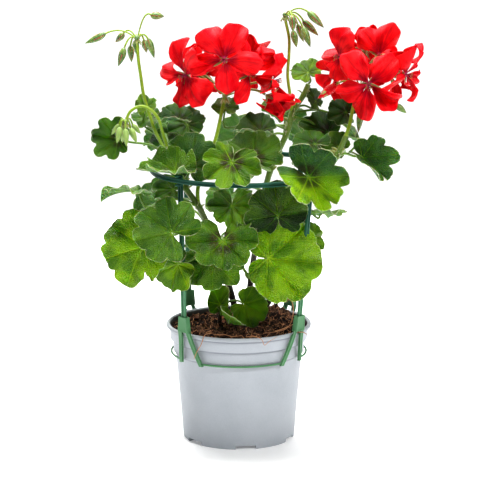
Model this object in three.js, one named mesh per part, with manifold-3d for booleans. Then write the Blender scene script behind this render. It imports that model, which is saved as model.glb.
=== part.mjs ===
// A potted zonal geranium in a round grower's pot, with a clip-on plastic plant support.
// Millimetres, +Z up. The front faces -Y. The origin is the centre of the pot's base, on the ground.
import * as THREE from "three";
import { mergeVertices } from "three/addons/utils/BufferGeometryUtils.js";
import Module from "manifold-3d";

const wasm = await Module();
wasm.setup();

const DEG = Math.PI / 180;
const GAP = 0.35; // clearance between pieces that touch

// ---------------------------------------------------------------- driving dimensions

const POT = {
  height: 97,
  lipRadius: 60, // a 12 cm pot
  lipHeight: 3,
  collarRadius: 57.1,
  collarFoot: 84.4, // height where the collar steps in
  bandRadius: 54.1,
  bandFoot: 73.5, // height where the second band steps in
  wallTopRadius: 51.4,
  baseRadius: 44.8,
  wall: 1.2,
  sides: 32,
  channelInner: 20, // the raised ring in the base, between the centre pad and the foot
  channelOuter: 41,
  channelHeight: 3.2,
  notches: 6,
  notchWidth: 18,
  notchTurn: 7.7 * DEG,
};

const SOIL = { floor: 6, edge: 92.5, rings: 3 };

const SUPPORT = {
  forks: [-44, 50, 137, -138].map((a) => a * DEG), // turned from the front towards +X
  names: ["front_left", "front_right", "back_right", "back_left"],
  legSplay: 11.7 * DEG,
  legWidth: 3.8,
  legThickness: 2,
  footRadius: 56.6,
  footHeight: 72.7,
  shoulderRadius: 63.4,
  shoulderFoot: 99.6,
  shoulderHeight: 13,
  shoulderWidth: 10.8,
  shoulderThickness: 4.8,
  seatHeight: 2.5, // a stake's foot stands this far above the shoulder's foot
  windowOffset: 2.2, // the open face of the shoulder, outside the stake
  windowMargin: 1.6,
  crotchWidth: 4.6,
  bandRadius: 55.9,
  bandSection: 1.8,
  stakeWidth: 5,
  stakeDepth: 2.4,
  stakeGroove: [1.8, 1.1],
  stakeGrooveMargin: 12, // plain stake left above and below the groove
  fingerWidth: 3.5, // the two fingers of the hook that holds the hoop
  fingerThickness: 1.5,
  fingerOffset: 1.35,
  hoopCentre: 3.5, // the hoop leans a little to +X
  hoopRadius: 75,
  hoopHeight: 226,
  hoopTall: 3.8,
  hoopDeep: 2.4,
  hoopGroove: 0.6,
  hoopSides: 40,
};

const STEM_HOLE = 0.5; // clearance round a stem in the soil
const LEAF_THICKNESS = 0.8;
const PETAL_THICKNESS = 0.8;
const PETIOLE_RADIUS = 1.1;
const PEDICEL_RADIUS = 0.9;
const BUD_STALK_RADIUS = 0.8;

// ---------------------------------------------------------------- materials

const finish = (color, roughness) => new THREE.MeshStandardMaterial({ color, roughness, metalness: 0 });
const greyPlastic = finish("#b9bec4", 0.45);
const compost = finish("#3a231a", 0.95);
const clipPlastic = finish("#4f8f6b", 0.5);
const stakePlastic = finish("#2f6a5b", 0.5);
const leafGreen = finish("#3f7a26", 0.55);
const petalRed = finish("#e4121c", 0.6);

// ---------------------------------------------------------------- solids and meshes

const vec = (p) => new THREE.Vector3(...p);

function toSolid(geometry) {
  const bare = geometry.index ? geometry.toNonIndexed() : geometry;
  const positions = new THREE.BufferGeometry().setAttribute("position", bare.getAttribute("position"));
  const merged = mergeVertices(positions, 1e-4);
  return new wasm.Manifold(
    new wasm.Mesh({
      numProp: 3,
      vertProperties: merged.attributes.position.array,
      triVerts: new Uint32Array(merged.index.array),
    }),
  );
}

const join = (solids) => solids.reduce((whole, next) => whole.add(next));

function toMesh(name, solid, material) {
  const { vertProperties, triVerts } = solid.getMesh();
  const geometry = new THREE.BufferGeometry();
  geometry.setAttribute("position", new THREE.BufferAttribute(vertProperties, 3));
  geometry.setIndex(new THREE.BufferAttribute(triVerts, 1));
  geometry.computeVertexNormals();
  const mesh = new THREE.Mesh(geometry, material);
  mesh.name = name;
  return mesh;
}

// A rod along a smooth curve through the points, with a flat end at each end.
function rod(points, radius, sides, steps) {
  const curve = points instanceof THREE.Curve ? points : new THREE.CatmullRomCurve3(points.map(vec));
  const turn = (k) => (2 * Math.PI * (k + 0.5)) / sides;
  const corner = (k) => new THREE.Vector2(radius * Math.cos(turn(k)), radius * Math.sin(turn(k)));
  const section = new THREE.Shape(Array.from({ length: sides }, (_, k) => corner(k)));
  return toSolid(new THREE.ExtrudeGeometry(section, { steps, extrudePath: curve, bevelEnabled: false }));
}

// A thin solid on a fan of points round a centre: rings of them, each with the same number of columns.
// Both faces are split into the same triangles. A closed fan joins its last column to its first.
function fan(centre, pointAt, rings, columns, thickness, closed) {
  const points = [centre];
  for (let i = 1; i <= rings; i++) for (let j = 0; j < columns; j++) points.push(pointAt(i / rings, j));
  const id = (i, j) => 1 + (i - 1) * columns + (j % columns);
  const faces = [];
  for (let j = 0; j < (closed ? columns : columns - 1); j++) {
    faces.push([0, id(1, j), id(1, j + 1)]);
    for (let i = 1; i < rings; i++) {
      faces.push([id(i, j), id(i + 1, j), id(i + 1, j + 1)]);
      faces.push([id(i, j), id(i + 1, j + 1), id(i, j + 1)]);
    }
  }
  const normals = points.map(() => new THREE.Vector3());
  const edges = new Map();
  for (const [a, b, c] of faces) {
    const ab = points[b].clone().sub(points[a]);
    const n = ab.cross(points[c].clone().sub(points[a]));
    for (const k of [a, b, c]) normals[k].add(n);
    for (const [p, q] of [[a, b], [b, c], [c, a]]) {
      if (edges.has(q + "_" + p)) edges.delete(q + "_" + p);
      else edges.set(p + "_" + q, [p, q]);
    }
  }
  const offset = (k, side) => {
    const normal = normals[k].clone().normalize();
    return points[k].clone().addScaledVector(normal, (side * thickness) / 2);
  };
  const top = points.map((_, k) => offset(k, 1));
  const bottom = points.map((_, k) => offset(k, -1));
  const corners = faces.flatMap(([a, b, c]) => [top[a], top[b], top[c], bottom[c], bottom[b], bottom[a]]);
  for (const [p, q] of edges.values()) {
    corners.push(top[q], top[p], bottom[p]);
    corners.push(top[q], bottom[p], bottom[q]);
  }
  return toSolid(new THREE.BufferGeometry().setFromPoints(corners));
}

// A spindle or cup: a profile of [radius, height] pairs, turned and set along a direction.
function turned(profile, sides, base, direction) {
  const outline = profile.map(([r, h]) => new THREE.Vector2(r, h));
  const geometry = new THREE.LatheGeometry(outline, sides);
  const lean = new THREE.Quaternion().setFromUnitVectors(new THREE.Vector3(0, 1, 0), direction);
  geometry.applyQuaternion(lean);
  geometry.translate(base.x, base.y, base.z);
  return toSolid(geometry);
}

function lathe(profile, sides) {
  const geometry = new THREE.LatheGeometry(profile.map(([r, z]) => new THREE.Vector2(r, z)), sides);
  return toSolid(geometry.rotateX(Math.PI / 2));
}

function block(width, depth, height, place) {
  return toSolid(new THREE.BoxGeometry(width, depth, height).applyMatrix4(place));
}

// A point at a radius and height, turned from the front (-Y) towards +X.
const polar = (radius, turn, z) => new THREE.Vector3(radius * Math.sin(turn), -radius * Math.cos(turn), z);

// ---------------------------------------------------------------- pot

// The inside of the pot from its floor to its mouth, as [radius, height].
const POT_INSIDE = [
  [POT.baseRadius - POT.wall, POT.channelHeight + POT.wall],
  [POT.wallTopRadius - POT.wall, POT.bandFoot - 1],
  [POT.bandRadius - POT.wall, POT.bandFoot + 0.6],
  [POT.bandRadius - POT.wall, POT.collarFoot - 0.8],
  [POT.collarRadius - POT.wall, POT.collarFoot + 0.8],
  [POT.collarRadius - POT.wall, POT.height - POT.lipHeight],
];

function makePot() {
  const p = POT;
  const profile = [
    [0, 0],
    [p.channelInner, 0],
    [p.channelInner + 1.5, p.channelHeight],
    [p.channelOuter - 1.5, p.channelHeight],
    [p.channelOuter, 0],
    [p.baseRadius, 0],
    [p.wallTopRadius, p.bandFoot - 1],
    [p.bandRadius, p.bandFoot],
    [p.bandRadius + 0.2, p.collarFoot - 0.8],
    [p.collarRadius, p.collarFoot],
    [p.collarRadius + 0.3, p.height - p.lipHeight],
    [p.lipRadius, p.height - p.lipHeight],
    [p.lipRadius, p.height - 0.9],
    [p.lipRadius - 1, p.height],
    [p.lipRadius - 3, p.height],
    ...POT_INSIDE.toReversed(),
    [0, p.channelHeight + p.wall],
  ];
  let pot = lathe(profile, p.sides);
  for (let k = 0; k < p.notches; k++) {
    const turn = p.notchTurn + (k * 2 * Math.PI) / p.notches;
    const at = (radius) => new THREE.Matrix4().makeRotationZ(turn).setPosition(polar(radius, turn, 0));
    const notchDepth = 2 * (p.baseRadius - p.channelOuter) + 6;
    const notch = block(p.notchWidth, notchDepth, 2 * p.channelHeight, at(p.baseRadius));
    const drain = block(p.notchWidth / 2, 5, 4 * p.channelHeight, at(p.channelOuter - 5));
    pot = pot.subtract(notch).subtract(drain);
  }
  return toMesh("pot", pot, greyPlastic);
}

// ---------------------------------------------------------------- soil

// The compost is heaped towards the back right, and lumpy all over.
function soilHeight(x, y) {
  const heap = 8 * Math.exp(-((x - 26) ** 2 + (y - 26) ** 2) / 520);
  const middle = 3 * Math.exp(-(x ** 2 + y ** 2) / 900);
  const lumps = Math.sin(x * 0.21 + 1) * Math.cos(y * 0.19) + 0.6 * Math.sin(x * 0.37 - y * 0.31);
  return SOIL.edge + heap + middle + 0.9 * lumps;
}

function makeSoil(stemHoles) {
  const s = SOIL;
  const side = POT_INSIDE.slice(0, -1).map(([r, z]) => [r - GAP, z + GAP]);
  side[0][0] -= 0.4;
  const edge = side[side.length - 1][0];
  const point = (i, j) => {
    const turn = (2 * Math.PI * j) / POT.sides;
    if (i < side.length) return polar(side[i][0], turn, side[i][1]);
    const at = polar((edge * (side.length + s.rings - i)) / s.rings, turn, 0);
    return at.setZ(soilHeight(at.x, at.y));
  };
  const corners = [];
  for (let j = 0; j < POT.sides; j++) {
    const last = side.length + s.rings;
    corners.push(new THREE.Vector3(0, 0, side[0][1]), point(0, j + 1), point(0, j));
    for (let i = 0; i < last - 1; i++) {
      corners.push(point(i, j), point(i, j + 1), point(i + 1, j + 1));
      corners.push(point(i, j), point(i + 1, j + 1), point(i + 1, j));
    }
    corners.push(point(last - 1, j), point(last - 1, j + 1), point(last, 0));
  }
  let soil = toSolid(new THREE.BufferGeometry().setFromPoints(corners));
  for (const hole of stemHoles) soil = soil.subtract(hole);
  return toMesh("soil", soil, compost);
}

// ---------------------------------------------------------------- plant support

// A frame on a fork: x runs round the pot, y outwards and z up the leaning stake.
function forkPlace(turn) {
  const s = SUPPORT;
  const hoopMeet = hoopPoint(turn);
  const foot = polar(s.shoulderRadius, turn, s.shoulderFoot);
  const up = hoopMeet.clone().sub(foot).normalize();
  const round = new THREE.Vector3(Math.cos(turn), Math.sin(turn), 0);
  const out = new THREE.Vector3().crossVectors(up, round).normalize().negate();
  const along = new THREE.Vector3().crossVectors(out, up);
  const place = new THREE.Matrix4().makeBasis(along, out, up).setPosition(foot);
  return { place, length: foot.distanceTo(hoopMeet) };
}

// Where a stake's axis meets the hoop's height, just inside the hoop.
function hoopPoint(turn) {
  const s = SUPPORT;
  const inside = s.hoopRadius - s.hoopDeep / 2 - 2 * GAP - s.stakeDepth / 2;
  return polar(inside, turn, s.hoopHeight).add(new THREE.Vector3(s.hoopCentre, 0, 0));
}

const shifted = (place, x, y, z) => place.clone().multiply(new THREE.Matrix4().makeTranslation(x, y, z));

function makeFork(turn) {
  const s = SUPPORT;
  const { place } = forkPlace(turn);
  const middle = s.shoulderHeight / 2;
  const whole = shifted(place, 0, 0, middle);
  const shoulder = block(s.shoulderWidth, s.shoulderThickness, s.shoulderHeight, whole);
  const seat = shifted(place, 0, 0, middle + s.seatHeight);
  const open = shifted(place, 0, s.windowOffset, middle + s.seatHeight);
  const socket = block(s.stakeWidth + 2 * GAP, s.stakeDepth + 2 * GAP, s.shoulderHeight, seat);
  const window = block(s.stakeWidth - s.windowMargin, s.shoulderThickness, s.shoulderHeight, open);
  const legs = [-1, 1].map((side) => {
    const spread = (side * (s.crotchWidth + s.legWidth)) / 2 / s.shoulderRadius;
    const top = polar(s.shoulderRadius + 0.3, turn + spread, s.shoulderFoot + 1);
    const foot = polar(s.footRadius, turn + side * s.legSplay, s.footHeight);
    return strip(top, foot, s.legWidth, s.legThickness);
  });
  return join([shoulder, ...legs]).subtract(socket).subtract(window);
}

// A straight flat bar whose width runs round the pot.
function strip(start, end, width, thickness) {
  const up = start.clone().sub(end);
  const middle = start.clone().add(end).multiplyScalar(0.5);
  const out = new THREE.Vector3(middle.x, middle.y, 0).normalize();
  const along = up.clone().normalize();
  const round = new THREE.Vector3().crossVectors(up, out).normalize();
  const face = new THREE.Vector3().crossVectors(along, round);
  const place = new THREE.Matrix4().makeBasis(round, face, along).setPosition(middle);
  return block(width, thickness, up.length() + width / 2, place);
}

function makeClip() {
  const s = SUPPORT;
  const order = s.forks.map((turn) => (turn < 0 ? turn + 2 * Math.PI : turn)).sort((a, b) => a - b);
  const bands = order.map((turn, k) => {
    const start = turn + s.legSplay;
    const end = (k + 1 < order.length ? order[k + 1] : order[0] + 2 * Math.PI) - s.legSplay;
    const steps = Math.round((end - start) / (12 * DEG));
    const arc = Array.from({ length: steps + 1 }, (_, i) =>
      polar(s.bandRadius, start + ((end - start) * i) / steps, s.footHeight),
    );
    return rod(arc, s.bandSection / 1.4, 4, steps);
  });
  return toMesh("support_clip", join([...s.forks.map(makeFork), ...bands]), clipPlastic);
}

function makeStake(turn, name) {
  const s = SUPPORT;
  const { place, length } = forkPlace(turn);
  const foot = s.seatHeight + 2 * GAP;
  const fingerHeight = s.hoopTall / 2 + GAP + s.fingerOffset;
  const top = length + fingerHeight + s.fingerThickness / 2 - GAP;
  const bar = block(s.stakeWidth, s.stakeDepth, top - foot, shifted(place, 0, 0, (top + foot) / 2));
  const [grooveWidth, grooveDepth] = s.stakeGroove;
  const grooveLength = length - s.shoulderHeight - s.stakeGrooveMargin;
  const middle = shifted(place, 0, s.stakeDepth / 2, (length + s.shoulderHeight) / 2);
  const groove = block(grooveWidth, 2 * grooveDepth, grooveLength, middle);
  const reach = s.hoopDeep + 3 * GAP;
  const fingers = [-1, 1].map((side) => {
    const at = shifted(place, 0, reach / 2, length + side * fingerHeight);
    return block(s.fingerWidth, reach + s.stakeDepth, s.fingerThickness, at);
  });
  return toMesh("stake_" + name, join([bar, ...fingers]).subtract(groove), stakePlastic);
}

function makeHoop() {
  const s = SUPPORT;
  const [inner, outer] = [s.hoopRadius - s.hoopDeep / 2, s.hoopRadius + s.hoopDeep / 2];
  const half = s.hoopTall / 2;
  const profile = [
    [inner, -half],
    [outer, -half],
    [outer - s.hoopGroove, 0],
    [outer, half],
    [inner, half],
    [inner, -half],
  ];
  const hoop = lathe(profile, s.hoopSides).translate([s.hoopCentre, 0, s.hoopHeight]);
  return toMesh("support_hoop", hoop, stakePlastic);
}

// ---------------------------------------------------------------- leaves

const VEINS = [-136, -92, -47, 0, 47, 92, 136].map((a) => a * DEG);
const SINUS_EDGE = 174 * DEG;

// The blade's outline as a share of its radius. Lobes end on the veins, with a notch between them, and
// a long leaf reaches further ahead of its petiole than behind it.
function leafRim(angle, leaf) {
  const a = Math.abs(angle);
  const behind = Math.max(0, (a - 85 * DEG) / (65 * DEG));
  const body = (1 + leaf.long * Math.cos(angle)) * (1 - 0.3 * behind ** 1.5);
  const sinus = a > 150 * DEG ? 1 - 0.62 * ((a - 150 * DEG) / (24 * DEG)) ** 1.6 : 1;
  const k = VEINS.findIndex((v, i) => angle >= v && angle <= VEINS[i + 1]);
  if (k < 0 || k > VEINS.length - 2) return body * sinus;
  const t = (angle - VEINS[k]) / (VEINS[k + 1] - VEINS[k]);
  return body * sinus * (1 - leaf.notch * Math.sin(Math.PI * t) ** 3);
}

// How far a direction lies from its nearest veins: 0 on a vein, 1 half-way between two.
function leafCrest(angle) {
  const k = VEINS.findIndex((v, i) => angle >= v && angle <= VEINS[i + 1]);
  if (k < 0 || k > VEINS.length - 2) return 0;
  return Math.sin((Math.PI * (angle - VEINS[k])) / (VEINS[k + 1] - VEINS[k]));
}

// A point on the blade, in the blade's own frame: x along the midrib, y across and z out of the upper face.
function leafPoint(leaf, share, angle) {
  const r = share * leafRim(angle, leaf);
  const u = r * Math.cos(angle);
  const w = r * Math.sin(angle);
  let h = leaf.cup * r * r + leaf.pleat * r * leafCrest(angle);
  h += leaf.wave * r * r * Math.sin(3 * angle + leaf.phase);
  const side = Math.sqrt(w * w + 0.01) - 0.1; // distance from the midrib, rounded at the fold
  const across = w * Math.cos(leaf.fold);
  h = h * Math.cos(leaf.fold) + side * Math.sin(leaf.fold);
  const bend = leaf.curl;
  const along = bend ? Math.sin(bend * u) / bend : u;
  const drop = bend ? (1 - Math.cos(bend * u)) / bend : 0;
  const point = new THREE.Vector3(along + h * Math.sin(bend * u), across, h * Math.cos(bend * u) - drop);
  return point.multiplyScalar(leaf.r);
}

// The blade's axes. Yaw turns its face from the front towards +X, pitch tips it up towards the sky, and
// tip turns the midrib clockwise from the top as the face is looked at.
function leafAxes({ yaw, pitch, tip }) {
  const [y, p, t] = [yaw * DEG, pitch * DEG, tip * DEG];
  const face = new THREE.Vector3(Math.sin(y) * Math.cos(p), -Math.cos(y) * Math.cos(p), Math.sin(p));
  const right = new THREE.Vector3(Math.cos(y), Math.sin(y), 0);
  const up = new THREE.Vector3().crossVectors(face, right);
  const midrib = up.multiplyScalar(Math.cos(t)).addScaledVector(right, Math.sin(t));
  return { face, midrib, across: new THREE.Vector3().crossVectors(face, midrib) };
}

const PLAIN_LEAF = {
  long: 0.12,
  cup: 0.05,
  pleat: 0.09,
  wave: 0.05,
  phase: 0,
  fold: 0,
  curl: 0.15,
  notch: 0.16,
};

// Directions that get an edge point: large leaves have three to a lobe, and the others two.
function leafDirections(radius) {
  const shares = radius >= 30 ? [0, 0.36, 0.64] : [0, 0.5];
  const between = VEINS.slice(0, -1).flatMap((v, k) => shares.map((t) => v + t * (VEINS[k + 1] - v)));
  const back = radius >= 30 ? [155 * DEG, SINUS_EDGE] : [SINUS_EDGE];
  return [...back.map((a) => -a).reverse(), ...between, VEINS[VEINS.length - 1], ...back];
}

function makeBlade(given) {
  const leaf = { ...PLAIN_LEAF, ...given, fold: (given.fold ?? 0) * DEG };
  const { face, midrib, across } = leafAxes(leaf);
  const place = new THREE.Matrix4().makeBasis(midrib, across, face).setPosition(vec(leaf.at));
  const directions = leafDirections(leaf.r);
  const point = (share, j) => leafPoint(leaf, share, directions[j]).applyMatrix4(place);
  return fan(vec(leaf.at), point, leaf.r < 19 ? 1 : 2, directions.length, LEAF_THICKNESS, false);
}

// A petiole rises from its stem and meets the blade from below, beside the end of the sinus. Where
// something stands in its way it passes the points given instead.
function makePetiole(start, leaf) {
  const { face, midrib, across } = leafAxes(leaf);
  const end = vec(leaf.at).addScaledVector(midrib, -2.6).addScaledVector(across, 1.1);
  const reach = start.distanceTo(end);
  const below = end.clone().addScaledVector(face, -0.22 * reach).addScaledVector(midrib, -0.12 * reach);
  const rise = start.clone().lerp(below, 0.45).add(new THREE.Vector3(0, 0, 0.12 * reach));
  const curve = new THREE.CatmullRomCurve3([start, ...(leaf.by?.map(vec) ?? [rise, below]), end]);
  return rod(curve, PETIOLE_RADIUS, 3, reach > 30 ? 4 : 3);
}

// ---------------------------------------------------------------- flowers and buds

// Each petal is a lobe of four columns: a valley beside it, then its near side, end and far side.
// Columns are [share of the petal's turn, length, lift above the next petal].
const PETAL_COLUMNS = [
  [0, 0.3, 0],
  [0.14, 0.86, -0.06],
  [0.5, 1, 0.06],
  [0.86, 0.86, 0.06],
];

// Two broad petals stand up, and the others spread below them, all from one short tube. A flower that is
// less open holds its petals forward.
function makeFlower(given) {
  const flower = { petals: 5, size: 21, tip: 0, open: 1, ...given, centre: vec(given.at) };
  flower.axes = leafAxes(flower);
  const { face, midrib, across } = flower.axes;
  const turn = (2 * Math.PI) / flower.petals;
  const pointAt = (share, j) => {
    const petal = Math.floor(j / 4);
    const [along, reach, lift] = PETAL_COLUMNS[j % 4];
    const upper = petal === 0 || petal === flower.petals - 1;
    const r = (share < 1 ? Math.min(0.55, 0.6 * reach + 0.05) : reach) * (upper ? 1.15 : 1);
    const angle = (petal + along) * turn;
    const h = ((upper ? 0.7 : 0.4) + 1 - flower.open) * r - 0.32 * r * r + lift * share;
    return flower.centre
      .clone()
      .addScaledVector(midrib, r * flower.open * Math.cos(angle) * flower.size)
      .addScaledVector(across, r * flower.open * Math.sin(angle) * flower.size)
      .addScaledVector(face, h * flower.size + PETAL_ROOT);
  };
  const root = flower.centre.clone().addScaledVector(face, PETAL_ROOT);
  return { flower, red: fan(root, pointAt, 2, 4 * flower.petals, PETAL_THICKNESS, true) };
}

const PETAL_ROOT = PETAL_THICKNESS / 2 + GAP; // the petals stand clear of the calyx
const HUB_RADIUS = 2.6;

function makeHub(hub) {
  const r = HUB_RADIUS;
  const profile = [[0, -r], [r, -0.3 * r], [0.8 * r, 0.6 * r], [0, r]];
  return turned(profile, 6, vec(hub), new THREE.Vector3(0, 0, 1));
}

// The green part of a flower: its stalk from the hub, and a cup with five pointed sepals bent back.
function makeFlowerStalk(hub, { centre, axes, size }) {
  const { face, midrib, across } = axes;
  const start = hub.clone().addScaledVector(centre.clone().sub(hub).normalize(), 0.6 * HUB_RADIUS);
  const reach = start.distanceTo(centre);
  const first = start.clone().lerp(centre, 0.35).add(new THREE.Vector3(0, 0, 0.1 * reach));
  const second = centre.clone().addScaledVector(face, -0.4 * reach);
  const end = centre.clone().addScaledVector(face, -2);
  const stalk = rod(new THREE.CubicBezierCurve3(start, first, second, end), PEDICEL_RADIUS, 3, 3);
  const point = (k) => {
    const turn = k * 36 * DEG;
    const [radius, height] = k % 2 ? [0.36 * size, -0.3 * size] : [1.9, -0.8];
    const out = midrib.clone().multiplyScalar(Math.cos(turn)).addScaledVector(across, Math.sin(turn));
    return centre.clone().addScaledVector(out, radius).addScaledVector(face, height);
  };
  const foot = centre.clone().addScaledVector(face, -4);
  const corners = [];
  for (let k = 0; k < 10; k++) {
    const [here, next] = [point(k), point((k + 1) % 10)];
    corners.push(centre, here, next, foot, next, here);
  }
  return stalk.add(toSolid(new THREE.BufferGeometry().setFromPoints(corners)));
}

// A closed bud on a thin bowed stalk: pointed at its tip and widest below the middle.
function makeBud(hub, { base, tip, wide = 2.4 }) {
  const [from, to] = [vec(base), vec(tip)];
  const along = to.clone().sub(from);
  const length = along.length();
  const start = hub.clone().addScaledVector(from.clone().sub(hub).normalize(), 0.6 * HUB_RADIUS);
  const rise = start.clone().lerp(from, 0.5);
  rise.z = Math.max(start.z, from.z) + 1.5;
  const end = from.clone().addScaledVector(along, 0.08);
  const stalk = rod(new THREE.QuadraticBezierCurve3(start, rise, end), BUD_STALK_RADIUS, 3, 2);
  const profile = [[0, 0], [wide, length * 0.35], [wide * 0.7, length * 0.7], [0, length]];
  return stalk.add(turned(profile, 5, from, along.normalize()));
}

// ---------------------------------------------------------------- the plant

// Each stem has the points it passes through, from the soil up. A leaf, peduncle or branch leaves it at
// one of those points, counted from 0, or part of the way to the next one. Leaf radii run from the
// petiole to the lobe tips.
const STEMS = [
  {
    name: "leafy_stem_left",
    radius: 2.7,
    path: [
      [-2, 14, 80],
      [-2, 14, 97],
      [-7, 10, 121],
      [-17, 0, 156],
      [-24, -6, 177],
      [-33, -15, 198],
      [-44, -16, 214],
      [-56, -12, 237],
    ],
    leaves: [
      {
        from: 4, at: [-53, -70, 187], r: 28, yaw: -8, pitch: 10, tip: -54, long: 0.16,
        by: [[-36, -46, 184], [-45, -61, 186]],
      },
      {
        from: 3.3, at: [-76, -56, 171], r: 33, yaw: -20, pitch: 12, tip: -110, long: 0.2,
        by: [[-58, -36, 168], [-69, -49, 168]],
      },
      {
        from: 3.6, at: [-52, -58, 163], r: 24, yaw: -24, pitch: -6, tip: 170,
        by: [[-34, -44, 177], [-41, -55, 171]],
      },
      { from: 5, at: [-84, -30, 211], r: 29, yaw: 170, pitch: 68, tip: 80 },
      { from: 6.2, at: [-53, -45, 233], r: 26, yaw: 0, pitch: 78, tip: -90, fold: 30, curl: 0 },
      { from: 6, at: [-39, -22, 232], r: 26, yaw: 0, pitch: 22, tip: 8, long: 0.25 },
      { from: 6.8, at: [-48, -8, 268], r: 17, yaw: 0, pitch: 75, tip: -85, fold: 25 },
      { from: 5.8, at: [-46, 16, 258], r: 19, yaw: 0, pitch: 20, tip: 170 },
      { from: 6.5, at: [-34, 8, 264], r: 20, yaw: 10, pitch: 52, tip: 10 },
      { from: 6.6, at: [-70, 12, 242], r: 13, yaw: -10, pitch: 70, tip: -75 },
      { from: 6.9, at: [-95, -10, 254], r: 22, yaw: -25, pitch: 20, tip: -80, long: 0.2 },
      { from: 7, at: [-76, 8, 274], r: 14, yaw: 0, pitch: 35, tip: 10, fold: 35 },
      { from: 6.75, at: [-72, 16, 266], r: 15, yaw: 0, pitch: 68, tip: -100 },
      { from: 4.8, at: [-58, 6, 210], r: 21, yaw: -10, pitch: 55, tip: -80 },
      { from: 3.8, at: [-68, 44, 194], r: 30, yaw: -150, pitch: 24, tip: 100 },
      { from: 6.1, at: [-58, 46, 250], r: 26, yaw: -155, pitch: 40, tip: 60 },
    ],
    peduncles: [
      { from: 5, radius: 1.7, path: [[-33, -15, 213], [-26, -12, 234], [-19, -10, 251], [-11, -5, 287]] },
      {
        from: 6.8,
        radius: 1.5,
        path: [
          [-67, -6, 256],
          [-73, -4, 273],
          [-77, -4, 287],
          [-79, -4, 301],
          [-81, -4, 316],
          [-82, -4, 334],
        ],
      },
      {
        from: 6.9,
        radius: 1.4,
        path: [
          [-61, -18, 257],
          [-65, -20, 271],
          [-71, -21, 278],
          [-79, -22, 281],
          [-87, -23, 277],
          [-91, -24, 269],
        ],
      },
    ],
  },
  {
    name: "leafy_stem_centre",
    radius: 2.5,
    path: [
      [7, 18, 80],
      [7, 18, 97],
      [10, 12, 130],
      [14, 4, 161],
      [19, 0, 196],
      [27, 2, 227],
      [40, 5, 256],
      [44, 8, 271],
      [53, 10, 285],
      [57, 10, 294],
    ],
    leaves: [
      {
        from: 4.9, at: [-8, -81, 248], r: 24, yaw: -5, pitch: 12, tip: 195, notch: 0.22,
        by: [[0, -56, 246], [-3, -70, 250]],
      },
      { from: 5.1, at: [17, -48, 239], r: 26, yaw: 5, pitch: 34, tip: 8, long: 0.2 },
      { from: 4.3, at: [-5, -52, 209], r: 22, yaw: -5, pitch: 30, tip: 180 },
      { from: 3.1, at: [-11, -66, 176], r: 27, yaw: 0, pitch: 40, tip: 180, curl: 0.25, notch: 0.22 },
      { from: 2, at: [-18, -40, 158], r: 24, yaw: 0, pitch: 20, tip: 185 },
      {
        from: 3.7, at: [30, -56, 196], r: 23, yaw: 0, pitch: -4, tip: 0,
        by: [[25, -24, 208], [29, -45, 203]],
      },
      { from: 5.9, at: [14, 0, 262], r: 22, yaw: 0, pitch: 75, tip: -80, fold: 22 },
      { from: 6.8, at: [72, 12, 255], r: 18, yaw: 10, pitch: 30, tip: -70, long: 0.3 },
      { from: 7, at: [88, 16, 273], r: 16, yaw: 5, pitch: 30, tip: -60 },
      { from: 8, at: [57, 20, 304], r: 13, yaw: -5, pitch: 30, tip: -30 },
      { from: 7.3, at: [63, 16, 279], r: 20, yaw: 60, pitch: 30, tip: -20 },
      { from: 6.3, at: [2, 16, 284], r: 18, yaw: 0, pitch: 78, tip: 100 },
      { from: 6.1, at: [-6, 24, 268], r: 16, yaw: 0, pitch: 50, tip: 0 },
      { from: 5.3, at: [6, 64, 250], r: 28, yaw: 175, pitch: 30, tip: 10 },
      { from: 3.4, at: [-8, 70, 190], r: 32, yaw: 185, pitch: 15, tip: 160 },
      { from: 6.5, at: [38, 48, 272], r: 22, yaw: 160, pitch: 45, tip: 0 },
    ],
    peduncles: [
      {
        from: 7,
        radius: 1.4,
        path: [[42, 8, 286], [40, 6, 302], [41, 5, 319], [41, 4, 333], [38, 3, 348], [38, 3, 352]],
      },
    ],
  },
  {
    name: "leafy_stem_right",
    radius: 2.6,
    path: [
      [17, 8, 80],
      [17, 8, 97],
      [30, 2, 122],
      [44, -8, 149],
      [52, -15, 176],
      [55, -20, 200],
      [64, -22, 220],
      [78, -20, 237],
      [87, -14, 255],
    ],
    leaves: [
      {
        from: 6, at: [59, -70, 233], r: 30, yaw: 15, pitch: 20, tip: 106, long: 0.2, notch: 0.2,
        by: [[58, -48, 236], [57, -61, 236]],
      },
      {
        from: 3, at: [22, -55, 160], r: 34, yaw: -5, pitch: 17, tip: 95, long: 0.4, notch: 0.12,
        by: [[32, -30, 158], [25, -43, 161]],
      },
      { from: 4, at: [62, -28, 174], r: 14, yaw: 40, pitch: 25, tip: 90 },
      { from: 4.7, at: [72, -18, 192], r: 18, yaw: 180, pitch: 70, tip: -75 },
      { from: 6.8, at: [62, -10, 248], r: 17, yaw: 0, pitch: 60, tip: -60 },
      { from: 7.2, at: [82, 0, 246], r: 17, yaw: 0, pitch: 40, tip: -60 },
      { from: 7.1, at: [106, -10, 240], r: 25, yaw: 30, pitch: 50, tip: 120, fold: 25 },
      { from: 4.2, at: [26, 64, 184], r: 28, yaw: 168, pitch: 10, tip: -140 },
      { from: 6.2, at: [56, 52, 244], r: 27, yaw: 150, pitch: 35, tip: -40 },
      { from: 7.3, at: [100, 32, 244], r: 22, yaw: 110, pitch: 40, tip: -60 },
    ],
    peduncles: [{ from: 8, radius: 1.7, path: [[90, -12, 264], [94, -8, 282], [99, -4, 293]] }],
  },
  {
    name: "basal_shoot",
    radius: 1.8,
    path: [
      [-16, -2, 80],
      [-16, -2, 96],
      [-15, -4, 108],
    ],
    leaves: [
      { from: 2, at: [9, -19, 119], r: 17, yaw: 5, pitch: 12, tip: 150, long: 0.3 },
      { from: 1.9, at: [-15, -4, 118], r: 15, yaw: -10, pitch: 25, tip: -25, fold: 35 },
      { from: 1.8, at: [-17, -20, 113], r: 16, yaw: 75, pitch: 35, tip: 165 },
    ],
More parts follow.
